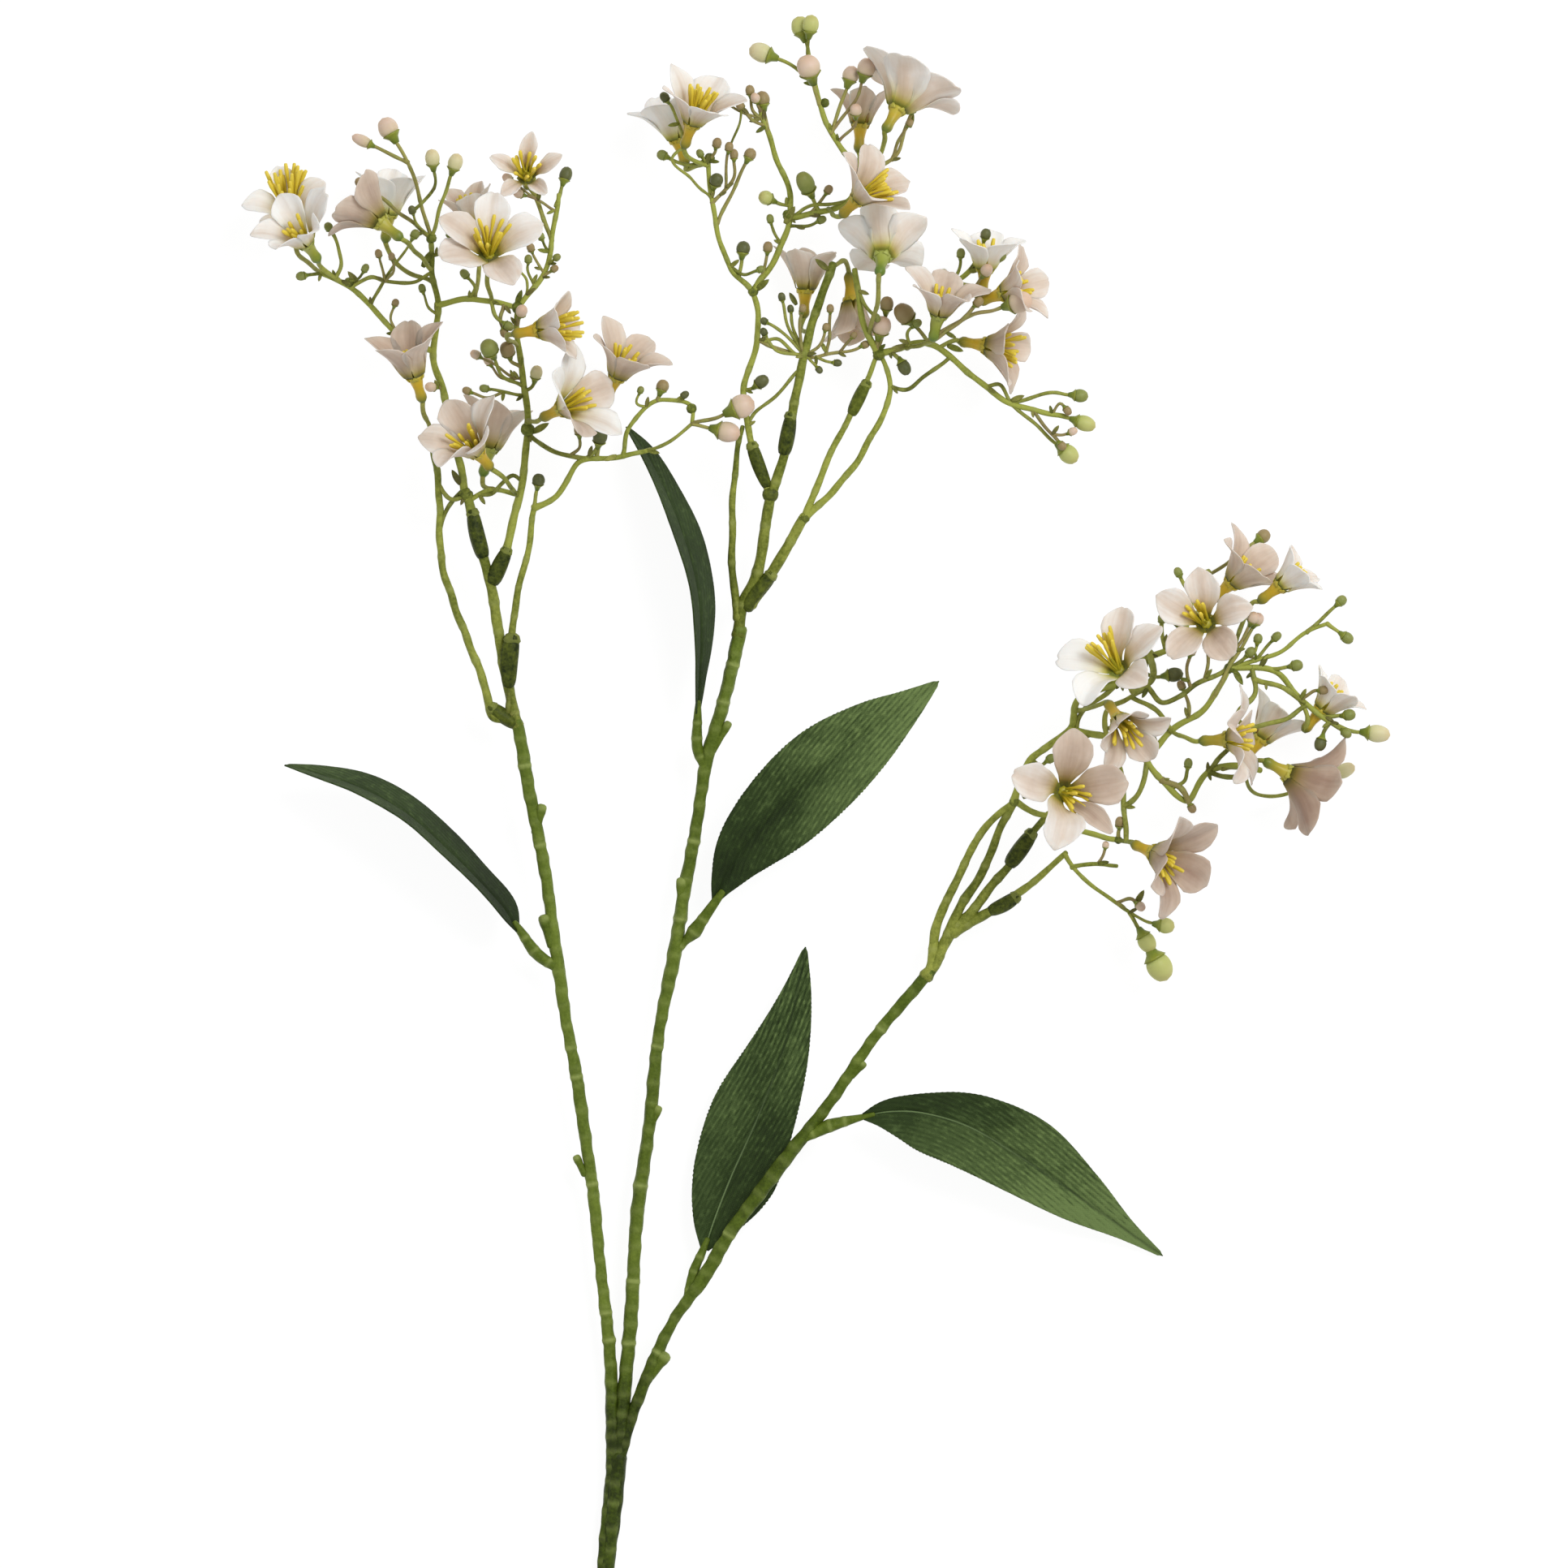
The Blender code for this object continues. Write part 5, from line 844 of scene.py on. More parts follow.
def bloom_frame(place, axis, tip):
    """The bloom's own frame in millimetres: +Z along its axis and +X under its first petal."""
    up = Vector(axis).normalized()
    flat = Vector((tip[0] - place[0], tip[1] - place[1], 0.0))
    first = (flat - up * flat.dot(up)).normalized()
    turn = np.array(Matrix((first, up.cross(first), up)).transposed())
    return np.array(place, float), turn


def calyx_foot(place, axis):
    """Where a bloom's calyx starts, and the way that it points."""
    up = np.array(Vector(axis).normalized())
    return np.array(place, float) - up * CALYX_LENGTH, up


def petal_grid(opening, bearing, turned, bend, grown, size, look):
    """One petal's middle surface in the bloom's frame, with its along and across values."""
    v = np.linspace(0.0, 1.0, PETAL_ROWS)[:, None]
    u = np.linspace(-1.0, 1.0, PETAL_COLUMNS)[None]
    reach = 1 - look["round"] * (u - look["lean"]) ** 2 - TIP_ROUNDING * u ** 6
    reach = reach - look["notch"] * np.exp(-(u / NOTCH_WIDTH) ** 2)
    reach = reach + look["ragged"] * np.sin(RAGGED_WAVES * u + look["phase"])
    part = v * reach
    blend = eased(part, *BEND_EASE)
    angle = opening + (bend - opening) * blend
    angle_end, angle_start = np.radians(angle), np.radians(EARLY_BEND * angle)
    here = angle_start + (angle_end - angle_start) * part
    scale = size + (grown - size) * blend
    length = PETAL_LENGTH * scale
    radius = RING_RADIUS + length * (np.cos(angle_start) - np.cos(here)) / (angle_end - angle_start)
    height = RING_HEIGHT + length * (np.sin(here) - np.sin(angle_start)) / (angle_end - angle_start)
    waves = 2 * np.pi * look["waves"] * part + look["phase"]
    half = np.interp(part, *zip(*PETAL_OUTLINE)) * PETAL_HALF_WIDTH * scale * look["wide"]
    half = half * (1 + EDGE_WAVE * np.abs(u) ** 3 * np.sin(waves + 2 * np.sign(u)))
    fold = math.radians(look["fold"]) * eased(part, *FOLD_EASE)
    crease = np.sqrt(u ** 2 + CREASE_SOFTNESS) - CREASE_DEPTH
    side = u * half * np.cos(fold)
    lift = crease * half * np.sin(fold)
    full = eased(part, *DISH_EASE)
    lift = lift + PETAL_DISH * u ** 2 * full
    lift = lift + look["cup"] * np.abs(u) ** 2.4 * np.sin(np.pi * np.clip(part, 0, 1))
    lift = lift + look["wrinkle"] * np.sin(np.pi * (look["folds"] * u + 0.6 * part) + look["phase"]) * full
    lift = lift + look["wave"] * np.abs(u) ** 1.6 * part * np.sin(waves + np.sign(u) * look["skew"])
    lift = lift + look["roll"] * np.abs(u) ** 3 * part ** 2 + look["twist"] * u * part
    lift = lift + look["curl"] * eased(part, *CURL_EASE) ** 1.5
    radius = radius - np.cos(here) * lift
    height = height + np.sin(here) * lift
    facing = bearing + (turned - bearing) * eased(part, *TURN_EASE) + look["sway"] * part ** 2
    x = radius * np.cos(facing) - side * np.sin(facing)
    y = radius * np.sin(facing) + side * np.cos(facing)
    return np.stack((x, y, height), axis=-1), part, np.broadcast_to(u, part.shape)


def throat_rows(bearing):
    """The petal's foot inside the ring, down into the calyx."""
    angles = bearing + np.linspace(-1, 1, PETAL_COLUMNS) * math.pi / PETALS * THROAT_FILL
    return np.array([np.stack((radius * np.cos(angles), radius * np.sin(angles),
                               np.full(PETAL_COLUMNS, height)), axis=-1) for radius, height in THROAT])


def petals(name, bloom, tint):
    """One bloom's five petals, each with its own wave, curl and colour, partly painted shade and highlight.
    """
    place, axis, tip, opening, size, _ = bloom
    origin, turn = bloom_frame(place, axis, tip)
    rng = random.Random(name)
    own = random.Random(name + "_look")
    turns = PETAL_TURNS.get(name, (0,) * PETALS)
    shape = Shape()
    for petal in range(PETALS):
        bearing = 2 * math.pi * petal / PETALS
        turned = bearing + math.radians(turns[petal])
        bend = opening * rng.uniform(*BEND_SPREAD)
        grown = size * rng.uniform(*SIZE_SPREAD)
        look = {trait: own.uniform(*span) for trait, span in PETAL_SPREAD.items()}
        look["shade"] = 0.0
        look.update(PETAL_LOOKS.get(name, {}).get(petal, {}))
        grid, part, across = petal_grid(opening, bearing, turned, bend, grown, size, look)
        throat = throat_rows(bearing)
        grid = np.concatenate((throat, grid))
        shift = np.linspace(*THROAT_ALONG, len(throat))[:, None] * np.ones((1, grid.shape[1]))
        part = np.concatenate((shift, part))
        across = np.concatenate((np.repeat(across[:1], len(throat), axis=0), across))
        # The petal's colour level: the bloom's value with its painted shade, this petal's own painted shade
        # and highlight, and a random part.
        tone = tint + look["shade"] + own.uniform(*SHADE_SPREAD)
        slab(shape, grid @ turn.T + origin, PETAL_THICKNESS, along=part, across=across,
             tint=np.full(part.shape, tone))
    return shape


def calyx(shape, bloom, tone, rng):
    """The flared cup under a bloom, green at its foot and yellow towards its toothed rim."""
    place, axis, tip, _, size, _ = bloom
    foot, _ = calyx_foot(place, axis)
    rim = RIM_RADIUS * (0.85 + 0.15 * size)
    profile = [*CALYX_CUP, *((height, rim + over) for height, over in CALYX_RIM), CALYX_FLOOR]
    heights = np.array([row[0] for row in profile])
    revolve(shape, foot, axis, profile, 16, lobes=0.05, along=np.clip(heights / CALYX_LENGTH, 0, 1.05),
            tone=tone)
    origin, turn = bloom_frame(place, axis, tip)
    for tooth in range(PETALS):
        bearing = 2 * math.pi * (tooth + 0.5) / PETALS
        rows = []
        for reach, width, _ in TOOTH:
            row = []
            for across in TOOTH_ACROSS:
                out = rim - 0.15 + reach * 0.42 + 0.12 * (1 - across * across)
                row.append((out * math.cos(bearing) - across * width * math.sin(bearing),
                            out * math.sin(bearing) + across * width * math.cos(bearing),
                            -0.9 + reach * 0.82))
            rows.append(row)
        grid = np.array(rows) @ turn.T + origin
        along = np.repeat(np.array([row[2:] for row in TOOTH]), len(TOOTH_ACROSS), axis=1)
        slab(shape, grid, TOOTH_THICKNESS, along=along,
             tone=np.full(along.shape, min(1.0, tone * rng.uniform(0.6, 1.1))))


def stamens(shape, bloom, rng, count, length, spread, pull=(0.0, 0.0)):
    """Thin curved stamens with swollen tips, drawn to one side by pull, round a shorter green style."""
    place, axis, tip, opening, _, _ = bloom
    origin, turn = bloom_frame(place, axis, tip)
    lean = math.tan(math.radians(min(MOST_LEAN, STAMEN_LEAN * opening))) * spread
    drawn = turn.T @ np.array((*pull, 0.0))
    out, depth = STAMEN_FOOT
    for i in range(count):
        bearing = 2 * math.pi * (i + rng.uniform(0.2, 0.8)) / count
        tilt = lean * rng.uniform(0.35, 1.15)
        reach = length * rng.uniform(0.74, 1.12)
        heading = np.array((math.cos(bearing) * tilt + drawn[0], math.sin(bearing) * tilt + drawn[1], 1.0))
        heading = heading / np.linalg.norm(heading)
        sway = rng.uniform(0.3, 0.9)
        foot = np.array((out * math.cos(bearing), out * math.sin(bearing), depth))
        rows = []
        for k in range(STAMEN_STEPS + 1):
            t = k / STAMEN_STEPS
            bent = np.array((-math.sin(bearing), math.cos(bearing), 0.0)) * sway * math.sin(2.4 * t + i)
            rise = np.array((0.0, 0.0, 1.0)) * (1 - t) * t * reach * 0.25
            swell = TIP_SWELL * float(eased(t, *TIP_EASE)) * (1 if k < STAMEN_STEPS else 0.6)
            centre = turn @ (foot + heading * (reach - depth) * t + rise + bent) + origin
            rows.append((*centre, STAMEN_RADIUS - STAMEN_TAPER * t + swell))
        route = curve_through(rows, 1.0)
        sweep(shape, route, 8, along=np.linspace(0.0, 1.0, len(route)), tone=rng.uniform(0, 1))
    style = [(*(turn @ np.array((0, 0, height)) + origin), radius)
             for height, radius in ((-1.0, 0.6), (3.0, 0.55), (length * 0.55, 0.4))]
    sweep(shape, curve_through(style, 1.5), 8, along=0.15, tone=0.5)
    revolve(shape, origin, axis, CUSHION, 20, lobes=0.16, lobe_count=7,
            along=np.linspace(0.05, 0.16, len(CUSHION)), tone=0.5)


def bud(shape, cups, middle, direction, length, width, kind, rng):
    """A closed bud with its folded petals showing, in a small green cup."""
    direction = unit(np.array(direction, float))
    base = np.array(middle, float) - direction * length / 2
    rows = []
    for t in np.linspace(0.0, 1.0, 13):
        ball = math.sqrt(max(1 - (2 * t - 1) ** 2, 0.0))
        full = ball ** 0.9 * (1.0 - 0.16 * (t - 0.45)) + 0.02
        rows.append((t * length, max(full, 0.03) * width / 2))
    folds = 0.05 if kind in PALE_BUDS else 0.03
    revolve(shape, base, direction, rows, 15, lobes=folds, twist=rng.uniform(0.8, 2.0),
            along=np.linspace(0, 1, len(rows)), kind=BUD_KINDS[kind], tone=rng.uniform(0, 1))
    cup = [(height * width, radius * width) for height, radius in BUD_CUP]
    revolve(cups, base, direction, cup, 12, lobes=0.06, along=np.linspace(0.1, 0.5, len(cup)), tone=0.2)


def bract(shape, x, y, z, heading, length, rng):
    """A small pointed scale that stands off a joint."""
    along = np.linspace(0, 1, 8)[:, None]
    across = np.linspace(-1, 1, 5)[None]
    half = 0.17 * length * np.sin(np.pi * (along * 0.86 + 0.14)) ** 0.8
    turn = math.radians(heading)
    forward = np.array((math.cos(turn), math.sin(turn), 0.35))
    side = np.array((-math.sin(turn), math.cos(turn), 0.0))
    up = np.array((0, 0, 1.0))
    rise = 0.5 * (across ** 2) * half - 0.22 * length * along ** 2 * rng.uniform(0.4, 1.2)
    grid = (np.array((x, y, z)) + forward * (along * length)[..., None] * np.ones((1, 5, 1))
            + side * (across * half)[..., None] + up * rise[..., None])
    slab(shape, grid, BRACT_THICKNESS, tone=np.full(rise.shape, rng.uniform(0.3, 0.8)),
         ring=np.zeros(rise.shape), warm=np.full(rise.shape, rng.uniform(0.0, 0.35)))


def stalk(shape, route, sides, tone, rng, pitch=14.0, warm=0.0, slim=0.10):
    """A stalk with a faint joint here and there and a slightly wandering line."""
    route[:, 3] -= slim
    length = lengths_along(route)[-1]
    places = []
    at = rng.uniform(0.3, 0.8) * pitch
    while at < length - 2:
        places.append(at)
        at += pitch * rng.uniform(0.7, 1.35)
    route, near, lengths = ringed(route, places, 0.9, 0.10 * route[:, 3].mean(), 0.02)
    crook = 0.08 if route[:, 3].mean() > 1.4 else 0.2
    fade = np.clip(np.minimum(lengths, lengths[-1] - lengths) / 3.0, 0, 1)
    for axis in (0, 1):
        route[:, axis] += crook * fade * np.sin(lengths * rng.uniform(0.25, 0.5) + rng.uniform(0, 6))
    route[:, 3] *= 1 + 0.04 * np.sin(lengths * rng.uniform(0.5, 0.9) + rng.uniform(0, 6))
    route[:, 3] *= 1 + 0.22 * np.exp(-(lengths / 1.4) ** 2)
    drift = tone + 0.12 * np.sin(lengths * 0.12 + rng.uniform(0, 6))
    sweep(shape, route, sides, 0.03, rng, tone=drift, ring=near * 0.7, warm=warm)


def sleeve(shape, route, tone, rng):
    """A swollen dark length of a stalk, with a paler lip at its end."""
    span = np.linspace(0, 1, len(route))
    route[:, 3] *= 0.86 + 0.2 * np.sin(np.pi * np.clip(span * 1.1, 0, 1)) ** 0.6
    sweep(shape, route, 14, 0.05, rng, tone=tone + 0.08, ring=0.0, warm=0.0)
    lip = route[-3:].copy()
    lip[:, 3] = route[-1, 3] * np.array((0.98, 1.12, 1.02))
    sweep(shape, lip, 14, 0.04, rng, tone=tone + 0.3, ring=0.5, warm=0.0)


def knob(shape, x, y, z, radius, rng):
    """A lumpy joint of three short thick tubes that cross."""
    centre = np.array((x, y, z))
    for _ in range(3):
        lean = np.array((rng.uniform(-1, 1), rng.uniform(-1, 1), rng.uniform(-0.4, 0.6)))
        lean = lean / np.linalg.norm(lean)
        route = np.array([(*(centre + lean * place * radius), radius * share) for place, share in KNOB_ROWS])
        sweep(shape, route, 12, 0.04, rng, tone=rng.uniform(0.2, 0.6), ring=0.15, warm=0.0)


class Roots:
    """The stalks' middle lines, so that a twig can start on the nearest one."""

    def __init__(self):
        self.rows = np.zeros((0, 3))

    def add(self, route):
        self.rows = np.vstack((self.rows, route[:, :3]))

    def level(self, x, y):
        gaps = np.hypot(self.rows[:, 0] - x, self.rows[:, 1] - y)
        choice = np.where(gaps < gaps.min() + 0.6)[0]
        return self.rows[choice[np.argmax(self.rows[choice, 2])]]


def twig_route(roots, twig):
    """A twig's rows, from the stalk under its first point to its bud or to the stalk that it meets."""
    points, first, last, rise, _, size = twig
    root = roots.level(*points[0])
    meets = size == 0
    end = roots.level(*points[-1]) if meets else None
    rows = [tuple(root)]
    for i, (x, y) in enumerate(points[1:], 1):
        share = i / (len(points) - 1)
        goal = end[2] if meets else root[2] + rise
        z = root[2] + (goal - root[2]) * share + (rise * math.sin(math.pi * share) if meets else 0.0)
        if meets and i == len(points) - 1:
            x, y = end[:2]
        rows.append((x, y, z))
    return curve_through(tapered(first, last, rows), 0.9)


def spray(side, stalks, thick, knobs, buds, twigs, bracts, blooms):
    """The stalks, cups, stamens and buds of one spray, as four pieces that stand for its solid."""
    rng = random.Random("spray_" + side)
    green, cups, spikes, closed = Shape(), Shape(), Shape(), Shape()
    roots = Roots()
    for first, last, tone, points in stalks:
        route = curve_through(tapered(first, last, points), 0.8)
        roots.add(route)
        paler, slim = (0.34, 0.10) if first < THIN_STALK else (0.20, 0.20)
        stalk(green, route, 12, tone + paler, rng, slim=slim)
    for first, last, tone, points in thick:
        sleeve(green, curve_through(tapered(first, last, points), 0.7), tone, rng)
    for row in knobs:
        knob(green, *row, rng)
    for points, length, width, kind in buds:
        middle = np.array(points[-1])
        heading = unit(middle - np.array(points[-2]))
        end = middle - heading * length * 0.45
        route = curve_through(tapered(0.80, 0.70, [*points[:-1], tuple(end)]), 0.9)
        warm = 0.45 if kind in ("pink", "brown") else 0.1
        stalk(green, route, 8, rng.uniform(0.7, 1.0), rng, 11.0, warm=warm)
        bud(closed, cups, middle, heading, length, width, kind, rng)
    for i, bloom in enumerate(blooms, 1):
        place, axis, _, _, _, pedicel = bloom
        foot, up = calyx_foot(place, axis)
        rows = [*pedicel, tuple(foot - up * 0.2), tuple(foot + up * 1.0)]
        route = curve_through(tapered(0.85, 1.1, rows), 0.8)
        roots.add(route)
        stalk(green, route, 10, rng.uniform(0.75, 1.0), rng, 12.0, warm=rng.uniform(0, 0.3))
        calyx(cups, bloom, CALYX_TONES.get(f"{side}_{i}", PLAIN_CALYX), rng)
        stamens(spikes, bloom, rng, *STAMEN_PLANS.get(f"{side}_{i}", PLAIN_STAMENS))
    for twig in twigs:
        route = twig_route(roots, twig)
        kind, size = twig[4:]
        roots.add(route)
        warm = TWIG_WARMTH.get(kind, 0.1)
        stalk(green, route, 8, rng.uniform(0.55, 0.95), rng, 10.0, warm=warm, slim=0.18)
        if size:
            heading = unit(route[-1, :3] - route[-3, :3])
            middle = route[-1, :3] + heading * size * 0.3
            bud(closed, cups, middle, heading, size * rng.uniform(1.1, 1.3), size, kind, rng)
    for row in bracts:
        bract(green, *row, rng)
    for points, *_ in twigs:
        root = roots.level(*points[0])
        away = math.degrees(math.atan2(points[1][1] - points[0][1], points[1][0] - points[0][0]))
        heading = away + rng.choice((-1, 1)) * rng.uniform(25, 70)
        bract(green, *(root + (0, 0, 0.5)), heading, rng.uniform(2.6, 4.4), rng)
    for name, shape, material in (("stalks", green, STALK), ("calyces", cups, CALYX),
                                  ("stamens", spikes, STAMEN), ("buds", closed, BUD)):
        piece = shape.make(f"{name}_{side}", material)
        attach(piece, "root")
        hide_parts(f"spray_{side}")
    for i, (bloom, tint) in enumerate(zip(blooms, PETAL_TINTS_AND_SHADES[side]), 1):
        name = f"petals_{side}_{i}"
        piece = petals(name, bloom, tint).make(f"bloom_{side}_{i}", PETAL)
        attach(piece, "root")
        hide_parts(name)


def stem():
    """Trunk, branches, leaf stalks and stubs with their joint rings."""
    rng = random.Random("stem")
    shape = Shape()
    for points, rings, tone in ((TRUNK, RINGS_TRUNK, 0.46), (BRANCH_LEFT, RINGS_LEFT, 0.74),
                                (BRANCH_MIDDLE, RINGS_MIDDLE, 0.60), (BRANCH_RIGHT, RINGS_RIGHT, 0.44)):
        branch(shape, points, rings, tone, points is TRUNK, rng)
    for points in LEAF_STALKS:
        route = curve_through(points, 0.6)
        route, near, _ = ringed(route, LEAF_STALK_RINGS, 0.7, 0.12, 0.06)
        sweep(shape, route, 16, 0.05, rng, tone=0.60, ring=near * 0.6, warm=0.0)
    for points in STUBS:
        route = curve_through(points, 0.6)
        span = np.linspace(0, 1, len(route))
        route[:, 3] *= 0.95 + 0.22 * eased(span, 0.55, 0.3)
        sweep(shape, route, 14, 0.05, rng, tone=0.55, ring=eased(span, 0.8, 0.2) * 0.7, warm=0.0)
    piece = shape.make("stem_skin", STEM)
    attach(piece, "root")
    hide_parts("stem")


def branch(shape, points, rings, tone, is_trunk, rng):
    """The trunk or a branch, with its joint rings, fainter knots and lumps. The trunk's cut end is flat."""
    route = curve_through(points, 0.7)
    route[:, 3] -= BRANCH_SLIM
    inside = [y for y in rings if route[0, 1] < y < route[-1, 1]]
    places = np.interp(inside, route[:, 1], lengths_along(route))
    route, near, lengths = ringed(route, places, 0.8, 0.24, 0.08)
    knots = [rng.uniform(3.0, 6.0)]
    while knots[-1] < lengths[-1] - 8:
        knots.append(knots[-1] + rng.uniform(5.0, 9.5))
    swell = 0.04 if is_trunk else 0.12
    route, faint, lengths = ringed(route, knots, 1.1, swell, swell / 3)
    lumps = 0.035 * np.sin(lengths * 0.16 + rng.uniform(0, 6))
    lumps = lumps + 0.02 * np.sin(lengths * 0.53 + rng.uniform(0, 6))
    route[:, 3] *= 1 + lumps
    wander = 0.22 * np.sin(lengths * 0.11 + rng.uniform(0, 6))
    route[:, 0] += wander + 0.10 * np.sin(lengths * 0.7 + rng.uniform(0, 6))
    drift = tone + 0.10 * np.sin(lengths * 0.06 + rng.uniform(0, 6))
    # Darker from the fork down: painted shade between the strands.
    drift = drift - (tone - DARK_TONE) * eased(-route[:, 1], *DARK_FOOT)
    sweep(shape, route, 20, 0.045, rng, (not is_trunk, True), tone=drift,
          ring=np.maximum(near, 2.2 * swell * faint), warm=0.0)


def leaf(name, node, stations, look):
    """A woven blade with a sunk midrib, slanting veins, a wavy surface and a finely cut edge."""
    fine = curve_through(stations, 2.0)
    length = lengths_along(fine)
    s = np.linspace(0, length[-1], LEAF_ROWS)
    line = np.stack([np.interp(s, length, column) for column in fine.T], axis=-1)
    middle = line[:, :3]
    point = 1 - 0.8 * eased(s / s[-1], *POINT_EASE)
    left, right, roll = line[:, 3] * point, line[:, 4] * point, np.radians(line[:, 5])
    ahead = unit(np.gradient(middle, axis=0))
    flat = unit(np.cross(ahead, np.array((0, 0, 1.0))))
    side = flat * np.cos(roll)[:, None] + np.cross(ahead, flat) * np.sin(roll)[:, None]
    face = np.cross(side, ahead)
    u = np.linspace(-1, 1, LEAF_COLUMNS)
    u = (np.sign(u) * np.abs(u) ** 0.9)[None]
    s = s[:, None]
    share = s / s[-1]
    teeth = 1 + look["teeth"] * np.abs((s / look["tooth_pitch"]) % 1.0 - 0.5) * (np.abs(u) > 0.97)
    reach = np.where(u > 0, right[:, None], left[:, None]) * u * teeth
    rise = np.abs(reach) * LEAF_FOLD
    rise = rise - MIDRIB_DEPTH * np.exp(-(reach / MIDRIB_WIDTH) ** 2) * (1 - 0.7 * share)
    vein = np.abs(reach) * look["slant"] - s
    rise = rise + look["vein"] * np.sin(2 * np.pi * vein / look["vein_pitch"]) * np.clip(np.abs(u) * 3, 0, 1)
    wave = np.sin(2 * np.pi * s / look["wave_pitch"] + np.sign(u) * 1.3)
    rise = rise + look["wave"] * wave * np.abs(u) ** 1.5 * np.sin(np.pi * share)
    rise = rise + look["droop"] * np.abs(u) ** 3 * np.sin(np.pi * share)
    grid = middle[:, None] + side[:, None] * reach[..., None] + face[:, None] * rise[..., None]
    even = np.ones_like(reach)
    # The shade value: the blade's own tone, lighter towards the tip, with side lightening one half of the
    # blade and darkening the other as painted light, and the patches of painted highlight and shade.
    shade = look["tone"] + look["tip"] * share ** 1.2 + look["side"] * u
    for centre, across, spread, wide, strength in look["light_and_shade_patches"]:
        shade = shade + strength * np.exp(-((share - centre) / spread) ** 2 - ((u - across) / wide) ** 2)
    slant = math.radians(look["fibres"])
    shape = Shape()
    slab(shape, grid, LEAF_THICKNESS, along=share * even, shade=shade, offset=np.abs(reach),
         pale=look["pale"] * even, weave=look["weave"] * even, crease=look["crease"] * even,
         fibre_x=reach * math.cos(slant) - s * math.sin(slant),
         fibre_y=reach * math.sin(slant) + s * math.cos(slant))
    piece = shape.make(name, LEAF)
    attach(piece, "root")
    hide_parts(node)


# Materials.

class Look:
    """A material, with short names for the nodes that it is built of."""

    def __init__(self, name):
        self.material = bpy.data.materials.new(name)
        self.material.use_nodes = True
        self.tree = self.material.node_tree
        self.shader = self.tree.nodes["Principled BSDF"]

    def put(self, socket, value):
        """Gives a socket another node's output or a constant value."""
        if isinstance(value, bpy.types.NodeSocket):
            self.tree.links.new(value, socket)
        elif socket.type == "RGBA":
            socket.default_value = (*value, 1.0)
        else:
            socket.default_value = value

    def finished(self, colour, constants):
        """The material, once its shader has this colour and these constant values."""
        self.put(self.shader.inputs["Base Color"], colour)
        for name, value in constants.items():
            self.put(self.shader.inputs[name], value)
        return self.material

    def value(self, name):
        """A per-vertex value of the piece."""
        node = self.tree.nodes.new("ShaderNodeAttribute")
        node.attribute_name = name
        return node.outputs["Fac"]

    def combined(self, kind, *values):
        node = self.tree.nodes.new("ShaderNodeMath")
        node.operation = kind
        for socket, value in zip(node.inputs, values):
            self.put(socket, value)
        return node.outputs["Value"]

    def plus(self, first, second):
        return self.combined("ADD", first, second)

    def minus(self, first, second):
        return self.combined("SUBTRACT", first, second)

    def times(self, first, second):
        return self.combined("MULTIPLY", first, second)

    def positive(self, value):
        return self.combined("MAXIMUM", value, 0.0)

    def shifted(self, level, value, middle, strength):
        """The level, moved as the value lies over or under its middle."""
        return self.plus(level, self.times(self.minus(value, middle), strength))

    def stripes(self, value, pitch):
        return self.combined("SINE", self.times(value, 2 * math.pi / pitch))

    def ridge(self, offset, width):
        """1 in the middle, and down to 0 at this width."""
        return self.positive(self.minus(1.0, self.combined("DIVIDE", offset, width)))

    def noise_at(self, place, scale, detail, roughness):
        node = self.tree.nodes.new("ShaderNodeTexNoise")
        self.put(node.inputs["Vector"], place)
        self.put(node.inputs["Scale"], scale)
        self.put(node.inputs["Detail"], detail)
        self.put(node.inputs["Roughness"], roughness)
        return node.outputs["Fac"]

    def noise(self, scale, detail):
        """Noise over the piece's own room."""
        place = self.tree.nodes.new("ShaderNodeTexCoord")
        return self.noise_at(place.outputs["Object"], scale, detail, 0.55)

    def grain(self, detail, x, y, z=0.0):
        """Noise over these values, so that it can be drawn out along a thread or a petal."""
        place = self.tree.nodes.new("ShaderNodeCombineXYZ")
        for socket, value in zip(place.inputs, (x, y, z)):
            self.put(socket, value)
        return self.noise_at(place.outputs["Vector"], 1.0, detail, 0.5)

    def ramp(self, fac, stops, interpolation="LINEAR"):
        node = self.tree.nodes.new("ShaderNodeValToRGB")
        node.color_ramp.interpolation = interpolation
        elements = node.color_ramp.elements
        while len(elements) < len(stops):
            elements.new(0.5)
        for element, (position, colour) in zip(elements, stops):
            element.position = position
            element.color = (*colour, 1.0)
        self.put(node.inputs["Fac"], fac)
        return node.outputs["Color"]

    def mix(self, share, first, second, kind="MIX"):
        node = self.tree.nodes.new("ShaderNodeMix")
        node.data_type = "RGBA"
        node.blend_type = kind
        factor = next(s for s in node.inputs if s.name == "Factor" and s.type == "VALUE")
        colours = [s for s in node.inputs if s.type == "RGBA"]
        for socket, value in zip((factor, *colours), (share, first, second)):
            self.put(socket, value)
        return next(s for s in node.outputs if s.type == "RGBA")

    def bump(self, height, strength, distance):
        node = self.tree.nodes.new("ShaderNodeBump")
        self.put(node.inputs["Strength"], strength)
        self.put(node.inputs["Distance"], distance)
        self.put(node.inputs["Height"], height)
        self.put(self.shader.inputs["Normal"], node.outputs["Normal"])


